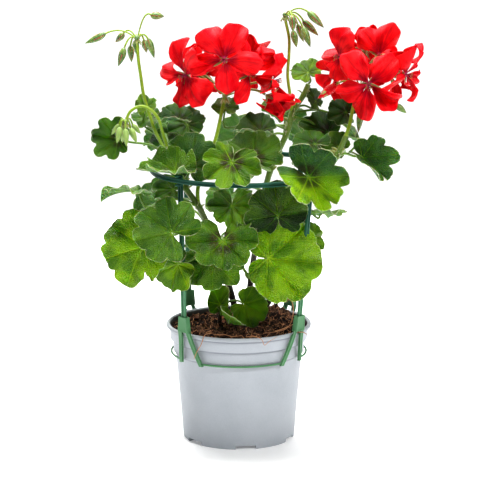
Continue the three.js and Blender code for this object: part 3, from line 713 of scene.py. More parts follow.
# %% The band between the forks
BAND_STEP = math.radians(3)
order = sorted(turn % (2 * math.pi) for turn in CLIP.forks)
bands = []
for k, turn in enumerate(order):
    start = turn + CLIP.leg_splay
    end = (order[k + 1] if k + 1 < len(order) else order[0] + 2 * math.pi) - CLIP.leg_splay
    select_only()
    bpy.ops.mesh.primitive_circle_add(vertices=12, radius=CLIP.band_section / 2 * MM)
    band = bpy.context.object
    band.data.transform(Matrix.Rotation(math.pi / 2, 4, "X"))
    band.data.transform(Matrix.Translation((CLIP.band_radius * MM, 0, CLIP.foot_height * MM)))
    band.data.transform(Matrix.Rotation(end - math.pi / 2, 4, "Z"))
    edit_all(band)
    steps = round((end - start) / BAND_STEP)
    bpy.ops.mesh.spin(steps=steps, angle=end - start, center=(0, 0, 0), axis=(0, 0, 1))
    finish_closed()
    smooth(band, 60)
    bands.append(band)
clip = join_pieces("clip_on_support", forks + bands)
paint(clip, clip_green)
hand_over(clip, "clip_plastic", "support_clip")

# %% Stakes
STAKE_NAMES = ("front_left", "front_right", "back_right", "back_left")


def model_stake(turn):
    """A channel bar, and at its top two fingers with the hoop between them."""
    place, length = fork_place(turn)
    foot = CLIP.seat + 2 * CLIP.gap
    finger = CLIP.hoop_tall / 2 + CLIP.gap + CLIP.finger_offset
    top = length + finger + CLIP.finger_thickness / 2 - CLIP.gap
    margin = (CLIP.stake_width - CLIP.groove_width) / 2
    size = (CLIP.stake_width, CLIP.stake_depth, top - foot)
    pieces = [bar(place, (0, 0, (top + foot) / 2), size, hollow=(margin, CLIP.groove_depth))]
    reach = CLIP.hoop_deep + 3 * CLIP.gap
    for side in (-1, 1):
        size = (CLIP.finger_width, reach + CLIP.stake_depth, CLIP.finger_thickness)
        pieces.append(bar(place, (0, reach / 2, length + side * finger), size))
    for piece in pieces:
        soften(piece, 0.35)
    return pieces


for name, turn in zip(STAKE_NAMES, CLIP.forks):
    stake = join_pieces("channel_stake_" + name, model_stake(turn))
    paint(stake, stake_green)
    hand_over(stake, "stake_plastic", "stake_" + name)

# %% [markdown]
# ## The hoop
# The ring that holds the shoots is a flat band, grooved outside like the stakes. It is turned like the
# pot: one ring of edges goes round the band's section and is then welded to where it began.

# %% Turn the hoop
inner = CLIP.hoop_radius - CLIP.hoop_deep / 2
outer = CLIP.hoop_radius + CLIP.hoop_deep / 2
half = CLIP.hoop_tall / 2
section = [(inner + 0.4, -half), (outer - 0.3, -half), (outer, -half + 0.3)]
section += [(outer, -0.75), (outer - 0.7, -0.45), (outer - 0.7, 0.45), (outer, 0.75)]  # the groove
section += [(outer, half - 0.3), (outer - 0.3, half), (inner + 0.4, half)]
section += [(inner, half - 0.4), (inner, -half + 0.4), section[0]]
select_only()
bpy.ops.mesh.primitive_circle_add(vertices=POT_SIDES, radius=section[0][0] * MM)
hoop = bpy.context.object
edit_all(hoop)
pick(hoop, "edges", lambda e: True)
bpy.ops.transform.translate(value=(0, 0, section[0][1] * MM))
extrude_ring(section[0], section[1:])
bpy.ops.mesh.select_all(action="SELECT")
bpy.ops.mesh.remove_doubles(threshold=0.01 * MM)
finish_closed()
hoop.data.transform(Matrix.Translation(Vector((CLIP.hoop_centre, 0, CLIP.hoop_height)) * MM))
hoop = join_pieces("support_ring", [hoop])
smooth(hoop, 30)
paint(hoop, stake_green)
hand_over(hoop, "stake_plastic", "support_hoop")

# %% [markdown]
# ## Compost
# Potting compost is peat and coir: dark crumbs of every size with long reddish fibres lying on it and
# hanging over the lip. The heap follows the CAD's height formula. A grid is rolled into a disc, lifted by
# that formula and roughened with noise. Loose crumbs and fibres are then scattered by a seeded rule.

# %% Compost material
compost_dark, wires, principled = new_material("peat", roughness=0.95, specular_ior_level=0.25)
place = object_place(wires)
crumb = wires.noise(place, 300, 6, 0.75)
clod = wires.put("TexVoronoi", place, 240, feature="F1").outputs["Distance"]
damp = wires.times(wires.fall(wires.noise(place, 60, 2), 0.38, 0.58), 0.9)
brown = wires.mix(wires.rise(crumb, 0.4, 0.62), (0.003, 0.0015, 0.001), (0.2, 0.1, 0.058))
tan = wires.mix(wires.rise(crumb, 0.58, 0.72), brown, (0.78, 0.54, 0.34))
relief = wires.bump(wires.plus(crumb, wires.times(clod, 0.6)), 0.0018)
connect(wires, principled, base_color=wires.mix(damp, tan, (0.006, 0.003, 0.002)), normal=relief)
coir = two_tone("coir_fibre", 240, 3, (0.32, 0.12, 0.05), (0.62, 0.32, 0.16), roughness=0.8)
print("compost materials ready")

# %% The heap
SOIL_EDGE = 92.5  # height at the wall, in mm
SOIL_WAIST = 0.084  # where the pot's collar ends, in metres
SOIL_FOOT = 0.006
SOIL_RADIUS = collar_inside - 0.4


def soil_height(x, y):
    heap = 8 * math.exp(-((x - 26) ** 2 + (y - 26) ** 2) / 520)
    middle = 3 * math.exp(-(x**2 + y**2) / 900)
    lumps = math.sin(x * 0.21 + 1) * math.cos(y * 0.19) + 0.6 * math.sin(x * 0.37 - y * 0.31)
    return SOIL_EDGE + heap + middle + 0.9 * lumps


def crumbly(x, y):
    """Height of the heap with its clods and crumbs, in mm."""
    place = Vector((x, y, 0))
    clods = 2.2 * noise.noise(place * 0.15) + 3.0 * noise.noise(place * 0.3 + Vector((7, 3, 1)))
    crumbs = 1.8 * noise.noise(place * 0.75) + 0.8 * noise.noise(place * 2.0)
    return soil_height(x, y) + clods + crumbs


select_only()
bpy.ops.mesh.primitive_grid_add(x_subdivisions=64, y_subdivisions=220, size=1)
soil = bpy.context.object
for v in soil.data.vertices:
    radius, turn = (v.co.x + 0.5) * SOIL_RADIUS, (v.co.y + 0.5) * 2 * math.pi
    x, y = radius * math.cos(turn), radius * math.sin(turn)
    v.co = Vector((x, y, crumbly(x, y))) * MM
edit_all(soil)
bpy.ops.mesh.remove_doubles(threshold=0.01 * MM)
pick(soil, "edges", lambda e: e.is_boundary)
bpy.ops.mesh.extrude_region_move(TRANSFORM_OT_translate={"value": (0, 0, 0)})
bpy.ops.transform.resize(value=(0.95, 0.95, 0), center_override=(0, 0, SOIL_WAIST))
bpy.ops.mesh.extrude_region_move(TRANSFORM_OT_translate={"value": (0, 0, SOIL_FOOT - SOIL_WAIST)})
bpy.ops.transform.resize(value=(0.81, 0.81, 1), center_override=(0, 0, SOIL_FOOT))
bpy.ops.mesh.edge_face_add()
finish_closed()
soil = join_pieces("compost", [soil])
smooth(soil, 60)
paint(soil, compost_dark)
hand_over(soil, "compost", "soil")

# %% Loose crumbs
CRUMBS = 1900
draw = np.random.default_rng(7)


def on_heap(draw, count, reach=SOIL_RADIUS - 2.5):
    """Seeded places spread evenly over the heap."""
    radius = reach * np.sqrt(draw.random(count))
    turn = 2 * math.pi * draw.random(count)
    return np.stack([radius * np.cos(turn), radius * np.sin(turn)], 1)


def copies_of(name, shape, places):
    """One mesh of many copies of a shape. Each place is a 4 x 4 matrix in mm."""
    points = np.array([v.co for v in shape.data.vertices])
    faces = [list(f.vertices) for f in shape.data.polygons]
    moved = [points @ np.array(m)[:3, :3].T + np.array(m)[:3, 3] for m in places]
    corners = [[v + k * len(points) for v in f] for k in range(len(places)) for f in faces]
    bpy.data.objects.remove(shape)
    return mesh_object(name, np.concatenate(moved), corners)


select_only()
bpy.ops.mesh.primitive_ico_sphere_add(subdivisions=1, radius=1)
grain = bpy.context.object
edit_all(grain)
bpy.ops.transform.vertex_random(offset=0.35, seed=3)
leave_edit()
places = []
for x, y in on_heap(draw, CRUMBS):
    size = 0.35 + 1.6 * draw.random() ** 3
    turned = Matrix.Rotation(draw.random() * ROUND, 4, Vector(draw.normal(size=3)).normalized())
    stretched = Matrix.Diagonal((size, size * (0.5 + draw.random()), size * 0.7, 1))
    places.append(Matrix.Translation((x, y, crumbly(x, y) + 0.2 * size)) @ turned @ stretched)
crumbs = copies_of("compost_crumbs", grain, places)
paint(crumbs, compost_dark)
hand_over(crumbs, "compost")

# %% [markdown]
# ## Round stalks and fibres
# Everything thin and round, from a coir fibre to a main stem, is a curve with thickness. A curve is the
# natural choice: its points give the way it grows, each point has its own radius, and converting it gives
# a clean tube. The CAD runs its stems along centripetal Catmull-Rom curves, so the same curve is used.

# %% Curves through points


def smooth_path(points, steps=6):
    """Points along a centripetal Catmull-Rom curve, and how far along each is, counted in input points."""
    p = np.array(points, float)
    p = np.vstack([2 * p[0] - p[1], p, 2 * p[-1] - p[-2]])
    out, where = [], []
    for k in range(1, len(p) - 2):
        d = [max(np.linalg.norm(p[k + i] - p[k + i - 1]) ** 0.5, 1e-3) for i in range(3)]
        t1 = (p[k] - p[k - 1]) / d[0] - (p[k + 1] - p[k - 1]) / (d[0] + d[1]) + (p[k + 1] - p[k]) / d[1]
        t2 = (p[k + 1] - p[k]) / d[1] - (p[k + 2] - p[k]) / (d[1] + d[2]) + (p[k + 2] - p[k + 1]) / d[2]
        t1, t2 = t1 * d[1], t2 * d[1]
        last = k == len(p) - 3
        for i in range(steps + last):
            t = i / steps
            a = 2 * t**3 - 3 * t**2 + 1
            b = -2 * t**3 + 3 * t**2
            out.append(a * p[k] + b * p[k + 1] + (t**3 - 2 * t**2 + t) * t1 + (t**3 - t**2) * t2)
            where.append(k - 1 + t)
    return np.array(out), np.array(where)


def bezier_path(points, steps):
    t = np.linspace(0, 1, steps + 1)[:, None]
    p = [np.array(q, float) for q in points]
    while len(p) > 1:
        p = [a * (1 - t) + b * t for a, b in zip(p, p[1:])]
    return p[0]


def round_stalks(name, runs, sides, materials):
    """A tube along each run of (points, radii, material number), all in one mesh."""
    curve = bpy.data.curves.new(name, "CURVE")
    curve.dimensions = "3D"
    curve.bevel_depth = MM
    curve.bevel_resolution = (sides - 4) // 2
    curve.use_fill_caps = True
    for material in materials:
        curve.materials.append(material)
    for points, radii, number in runs:
        spline = curve.splines.new("POLY")
        spline.points.add(len(points) - 1)
        spline.use_smooth = True
        spline.material_index = number
        for point, place, radius in zip(spline.points, points, np.broadcast_to(radii, len(points))):
            point.co = (*(np.array(place) * MM), 1)
            point.radius = radius
    obj = bpy.data.objects.new(name, curve)
    bpy.context.collection.objects.link(obj)
    select_only(obj)
    bpy.ops.object.convert(target="MESH")
    return bpy.context.object


print("curve helpers ready")

# %% Coir fibres
FIBRES = 260
# A few long fibres that the photograph shows over the lip and on the heap, in mm.
LONG_FIBRES = [
    [(6, -52, 97), (14, -57, 98.5), (19, -62, 97), (21, -63, 93), (25, -62, 96), (31, -58, 98.5)],
    [(-22, -42, 97.5), (-26, -48, 98.5), (-28, -55, 98), (-30, -60.2, 93), (-34, -60, 86), (-36, -58, 80)],
    [(42.6, -20, 121.7), (44.3, -24, 117), (44.7, -28, 112), (43, -34, 105), (39, -38, 100.5),
     (31, -40, 98.5), (20, -44, 98)],
    [(-20, -45, 97), (-12, -50, 98.5), (-4, -53, 97.5), (3, -50, 98)],
    [(30, -38, 98), (38, -34, 100), (46, -24, 101), (52, -12, 99)],
    [(48, -36, 97), (53, -41, 98), (56, -44, 96.5), (58, -46, 91)],
]
runs = []
for k, route in enumerate(LONG_FIBRES):
    points, _ = smooth_path(route, 5)
    runs.append((points, np.linspace(0.42, 0.2, len(points)), 0))
draw = np.random.default_rng(11)
for x, y in on_heap(draw, FIBRES, SOIL_RADIUS - 4):
    heading, bend = draw.random() * 2 * math.pi, draw.normal() * 0.5
    length = 4 + 16 * draw.random() ** 2
    points = []
    for step in range(7):
        z = crumbly(x, y) + 0.3 + 1.4 * math.sin(step * 1.3 + bend) ** 2 * draw.random()
        points.append((x, y, z))
        heading += bend * 0.5 + draw.normal() * 0.2
        x += length / 6 * math.cos(heading)
        y += length / 6 * math.sin(heading)
        if math.hypot(x, y) > SOIL_RADIUS - 2:
            break
    if len(points) > 3:
        runs.append((points, np.linspace(0.28, 0.1, len(points)), 0))
fibres = round_stalks("coir_fibres", runs, 4, [coir])
hand_over(fibres, "compost")

# %% [markdown]
# ## What a leaf is
# A zonal geranium's leaf is nearly round, with seven veins that start at one point, a shallow notch
# between the lobes, small rounded teeth and a deep sinus where the stalk comes in. The blade is a flat
# grid whose one side is the way out from the stalk and whose other side is the turn round it. A formula
# rolls it up, and the same seven directions then serve the edge, the folds and the painted veins.

# %% Leaf outline and surface
VEIN_STEP = math.radians(45.6)
LOBES = 3 * VEIN_STEP  # the last vein on each side
# What a leaf may differ in. Its outline: long at the tip, back behind, where the sinus starts in degrees,
# notch, teeth, and a nick torn in the edge by (degrees, width, depth). Its surface: cup, pleat, wave, ruffle
# and curl, with a fold in degrees. Its look: glow for painted light through the blade, zone, dusk, shade for
# painted shade, and a split that paints shade on the half on one side: duskier, more shaded, less lit.
# By gives the points that its stalk goes through.
PLAIN_LEAF = dict(
    long=0.12, cup=-0.03, pleat=0.16, wave=0.08, phase=0, fold=0, curl=0.15, notch=0.16, teeth=0.035,
    ruffle=0.05, sinus=172, glow=0.25, zone=0.6, dusk=0.3, shade=0.1, split=0, side=90, back=0.24,
    nick=(0, 1, 0), by=None,
)


def leaf_axes(yaw=0, pitch=0, tip=0, **_):
    """Rows: the midrib, the way across it and the upper face's normal. Angles as in the CAD."""
    y, p, t = map(math.radians, (yaw, pitch, tip))
    face = np.array([math.sin(y) * math.cos(p), -math.cos(y) * math.cos(p), math.sin(p)])
    right = np.array([math.cos(y), math.sin(y), 0])
    midrib = np.cross(face, right) * math.cos(t) + right * math.sin(t)
    return np.array([midrib, np.cross(face, midrib), face])


def leaf_rim(angle, leaf):
    """The blade's outline as a share of its radius."""
    a = np.abs(angle)
    edge = math.radians(leaf["sinus"])
    behind = np.clip((a - math.radians(85)) / math.radians(65), 0, None)
    body = (1 + leaf["long"] * np.cos(angle)) * (1 - leaf["back"] * behind**1.5)
    sinus = 1 - 0.5 * np.clip((a - edge + math.radians(20)) / math.radians(20), 0, 1) ** 1.8
    t = np.mod(angle / VEIN_STEP, 1)
    notch = np.where(a < LOBES, leaf["notch"] * (1 - np.abs(np.cos(math.pi * t)) ** 0.7) ** 1.3, 0)
    tooth = 1 - np.abs(np.cos(3 * math.pi * t)) ** 0.55
    phase = leaf["phase"]
    uneven = 0.035 * np.sin(2.6 * angle + 3 * phase) + 0.02 * np.sin(5 * angle + 2 * phase)
    uneven += 0.014 * np.sin(11 * angle - phase)
    teeth = leaf["teeth"] * tooth * (1 + 0.4 * np.sin(4 * angle + phase))
    whole = body * sinus * (1 - notch) * (1 - teeth) * (1 + uneven)
    return whole * (1 - leaf["nick"][2] * torn(angle, leaf))


def torn(angle, leaf):
    """1 at the middle of the nick in the blade's edge and 0 away from it."""
    middle, width, _ = leaf["nick"]
    away = (angle - math.radians(middle)) / math.radians(width)
    return np.exp(-(away**2)) * (1 + 0.3 * np.sin(60 * angle))


def leaf_surface(leaf, share, angle):
    """Points of the blade in its own frame and unit, and their flat plan."""
    r = share * leaf_rim(angle, leaf)
    u, w = r * np.cos(angle), r * np.sin(angle)
    t = np.mod(angle / VEIN_STEP, 1)
    crest = np.where(np.abs(angle) < LOBES, np.sin(math.pi * t), 0)
    off_vein = r * np.sin(np.minimum(t, 1 - t) * VEIN_STEP)
    sunk = 0.14 / leaf["r"] * np.exp(-((off_vein / 0.022) ** 2)) * (1 - 0.6 * share)
    phase, ruffle = leaf["phase"], leaf["ruffle"]
    h = leaf["cup"] * r**2 + leaf["pleat"] * r * crest**0.8 - sunk
    h += leaf["wave"] * r**2 * np.sin(3 * angle + phase) + 0.03 * r**2 * np.sin(1.3 * angle + 2 * phase)
    h += ruffle * share**3 * (np.sin(6.3 * angle + 2.3 * phase) + 0.7 * np.sin(10.7 * angle + phase))
    h += 0.3 * ruffle * share**4 * np.sin(23 * angle + phase)
    fold = math.radians(leaf["fold"])
    side = np.sqrt(w**2 + 0.01) - 0.1
    across, h = w * math.cos(fold), h * math.cos(fold) + side * math.sin(fold)
    bend = leaf["curl"] or 1e-6
    along, drop = np.sin(bend * u) / bend, (1 - np.cos(bend * u)) / bend
    points = np.stack([along + h * np.sin(bend * u), across, h * np.cos(bend * u) - drop], 1)
    return points, np.stack([u, w], 1)


print("a plain leaf reaches", round(float(leaf_rim(np.array([0.0]), PLAIN_LEAF)[0]), 2), "radii at its tip")

# %% [markdown]
# ## Painting leaves
# Upper faces are green with pale veins, a finer net between them and a brown horseshoe zone. Undersides
# are greyer, with raised veins. The veins are drawn by nodes from the blade's flat plan, which is kept
# in a UV map, so they stay sharp at any size: the turn round the stalk is folded onto one lobe, and a
# vein is then simply a line along that lobe, with three pairs of side veins. Each leaf carries its own
# tone as an attribute: how much painted light through the blade it gets, which also widens and brightens
# its veins, how strong the zone is, how bluish it is and how much painted shade darkens it.

# %% Leaf vein group
PLAN_SCALE = 0.36

leaf_veins, entry, leaving = new_group(
    "leaf_veins", [("Plan", "Vector"), ("Wide", "Float")], "Vein Fork Net Quilt Aside Radius"
)
wires = Wires(leaf_veins)
centred = wires.vector("SUBTRACT", entry.outputs["Plan"], (0.5, 0.5, 0))
plan = wires.vector("DIVIDE", centred, (PLAN_SCALE,) * 3)
wobble = wires.vector("SUBTRACT", wires.put("TexNoise", plan, 5, 2).outputs["Color"], (0.5, 0.5, 0.5))
bent = wires.vector("ADD", plan, wires.vector("MULTIPLY", wobble, (0.05, 0.05, 0)))
radius = wires.length(bent)
x, y, _ = wires.axes(bent)
angle = wires.math("ARCTAN2", y, x)
turns = wires.plus(wires.math("DIVIDE", angle, VEIN_STEP), 0.5)
folded = wires.times(wires.minus(wires.math("FRACT", turns), 0.5), VEIN_STEP)
along = wires.times(radius, wires.math("COSINE", folded))
aside = wires.math("ABSOLUTE", wires.times(radius, wires.math("SINE", folded)))
width = wires.minus(0.03, wires.times(along, 0.017))
width = wires.times(width, wires.plus(entry.outputs["Wide"], 1))
vein = wires.fall(aside, wires.times(width, 0.35), width)


def fork(start, lean, thin):
    """A side vein: a line that leaves the main one at start and leans away from it on both sides."""
    out = wires.times(wires.minus(along, start), math.sin(lean))
    line = wires.fall(wires.off(out, wires.times(aside, math.cos(lean))), thin * 0.3, thin)
    return wires.times(line, wires.rise(along, start - 0.01, start + 0.02))


forks_drawn = fork(0.3, 0.5, 0.013)
for start, lean in ((0.5, 0.62), (0.68, 0.7)):
    forks_drawn = wires.most(forks_drawn, fork(start, lean, 0.01))
cells = wires.put("TexVoronoi", bent, 15, feature="DISTANCE_TO_EDGE", voronoi_dimensions="2D")
edge = cells.outputs["Distance"]
net, quilt = wires.fall(edge, 0.01, 0.09), wires.rise(edge, 0.0, 0.3)
send_out(wires, leaving, Vein=vein, Fork=forks_drawn, Net=net, Quilt=quilt, Aside=aside, Radius=radius)
print("leaf vein group:", len(leaf_veins.nodes), "nodes")

# %% Leaf materials


def leaf_material(name, upper):
    material, wires, principled = new_material(
        name, specular_ior_level=0.32 if upper else 0.15, subsurface_weight=0.5, subsurface_scale=0.0011,
        subsurface_radius=(0.45, 1.0, 0.02), sheen_weight=0.0 if upper else 0.1, sheen_roughness=0.5,
    )
    attribute = wires.put("Attribute", attribute_name="leaf_tone")
    glow, zone, dusk = wires.put("SeparateColor", attribute.outputs["Color"]).outputs
    # Painted light: the glow that stands for light through the blade also widens the veins.
    veins = use_group(wires, leaf_veins, Plan=plan_place(wires), Wide=wires.times(glow, 0.5))
    share = wires.put("Attribute", attribute_name="leaf_share").outputs["Fac"]
    place = object_place(wires)
    broad, fine = wires.noise(place, 55, 2), wires.noise(place, 700, 3)
    patch = wires.noise(place, 120, 3)
    if upper:
        green = wires.mix(dusk, (0.12, 0.27, 0.002), (0.08, 0.22, 0.065))
        # Painted light: glow turns the blade a bright yellow-green, as if light came through it.
        green = wires.mix(glow, green, (0.31, 0.52, 0.0))
        green = wires.mix(wires.times(wires.rise(patch, 0.5, 0.7), 0.45), green, (0.2, 0.36, 0.01))
        # Painted shade: the tone's alpha, the leaf's shade, darkens leaves deep in the plant almost to black.
        green = wires.mix(attribute.outputs["Alpha"], green, (0.008, 0.04, 0.002))
        green = wires.mix(wires.rise(broad, 0.38, 0.62), green, (0.36, 0.5, 0.34), "MULTIPLY")
        beside = wires.times(wires.fall(veins["Aside"], 0.0, 0.12), 0.4)
        green = wires.mix(beside, green, (1.5, 1.4, 1.0), "MULTIPLY")
        green = wires.mix(wires.times(veins["Quilt"], 0.35), green, (0.65, 0.75, 0.6), "MULTIPLY")
        band = wires.times(wires.rise(veins["Radius"], 0.08, 0.18), wires.fall(veins["Radius"], 0.26, 0.5))
        band = wires.times(wires.times(band, zone), wires.rise(broad, 0.2, 0.5))
        band = wires.times(band, wires.fall(veins["Vein"], 0.2, 0.9))
        green = wires.mix(wires.times(band, 0.85), green, (0.04, 0.016, 0.006))
        # Painted light: glow makes the veins paler and stronger.
        pale = wires.mix(glow, (0.17, 0.36, 0.03), (0.55, 0.74, 0.05))
        lines = wires.plus(wires.times(glow, 0.35), 0.36)
    else:
        # Painted light: glow turns the underside a bright yellow-green too.
        green = wires.mix(glow, (0.17, 0.29, 0.12), (0.26, 0.5, 0.03))
        green = wires.mix(wires.rise(broad, 0.3, 0.7), green, (0.7, 0.8, 0.7), "MULTIPLY")
        pale, lines = (0.42, 0.56, 0.3), 0.7
    core = wires.fall(veins["Radius"], 0.02, 0.09)
    marks = wires.most(veins["Vein"], wires.times(veins["Fork"], 0.4))
    marks = wires.most(wires.times(marks, lines), wires.times(veins["Net"], 0.1))
    colour = wires.mix(wires.most(marks, wires.times(core, 0.8)), green, pale)
    rim_colour = wires.mix(wires.rise(broad, 0.5, 0.6), (0.5, 0.62, 0.3), (0.36, 0.3, 0.13))
    colour = wires.mix(wires.times(wires.rise(share, 0.978, 0.992), 0.6), colour, rim_colour)
    colour = wires.mix(wires.rise(share, 1.005, 1.03), colour, (0.2, 0.09, 0.03))
    relief = wires.times(wires.plus(veins["Vein"], veins["Fork"]), 0.6)
    relief = wires.minus(relief, wires.times(veins["Quilt"], 1.9))
    relief = wires.times(relief, -1.0 if upper else 1.0)
    relief = wires.plus(relief, wires.times(fine, 0.4))
    gloss = wires.plus(0.26 if upper else 0.5, wires.times(fine, 0.24))
    connect(wires, principled, base_color=colour, roughness=gloss, normal=wires.bump(relief, 0.0009))
    return material


leaf_upper = leaf_material("leaf_upper", True)
leaf_under = leaf_material("leaf_underside", False)
leaf_edge = two_tone("leaf_edge", 260, 2, (0.55, 0.66, 0.4), (0.42, 0.36, 0.2), (0.4, 0.62), roughness=0.6)
print("leaf materials ready")

# %% [markdown]
# ## The shoots
# Four shoots stand in the pot. Each has a path from the compost up, and leaves that leave it at a point
# of that path, counted from 0. The stems and the flower stalks are the CAD's. The leaves follow the
# photograph more closely: many are turned and moved, by up to 10 mm, and two small ones by more. Where a
# leaf's stalk has to pass between others, it goes by two points. Each leaf also has its look: glow for
# painted light through the blade, zone for the dark band, dusk for a bluish tone and shade for painted shade.

# %% Shoots and their leaves, in mm and degrees


def leaf_on(stem, at, r, yaw, pitch, tip, **look):
    """A leaf by its point on the stem, its centre, its radius, how it is turned and how it differs."""
    place = dict(stem=stem, at=np.array(at, float), r=r, yaw=yaw, pitch=pitch, tip=tip)
    return {**PLAIN_LEAF, **place, **look}


def peduncle(stem, radius, *path):
    """A flower stalk by its point on the stem, its radius and the points it goes through."""
    return dict(stem=stem, radius=radius, path=path)


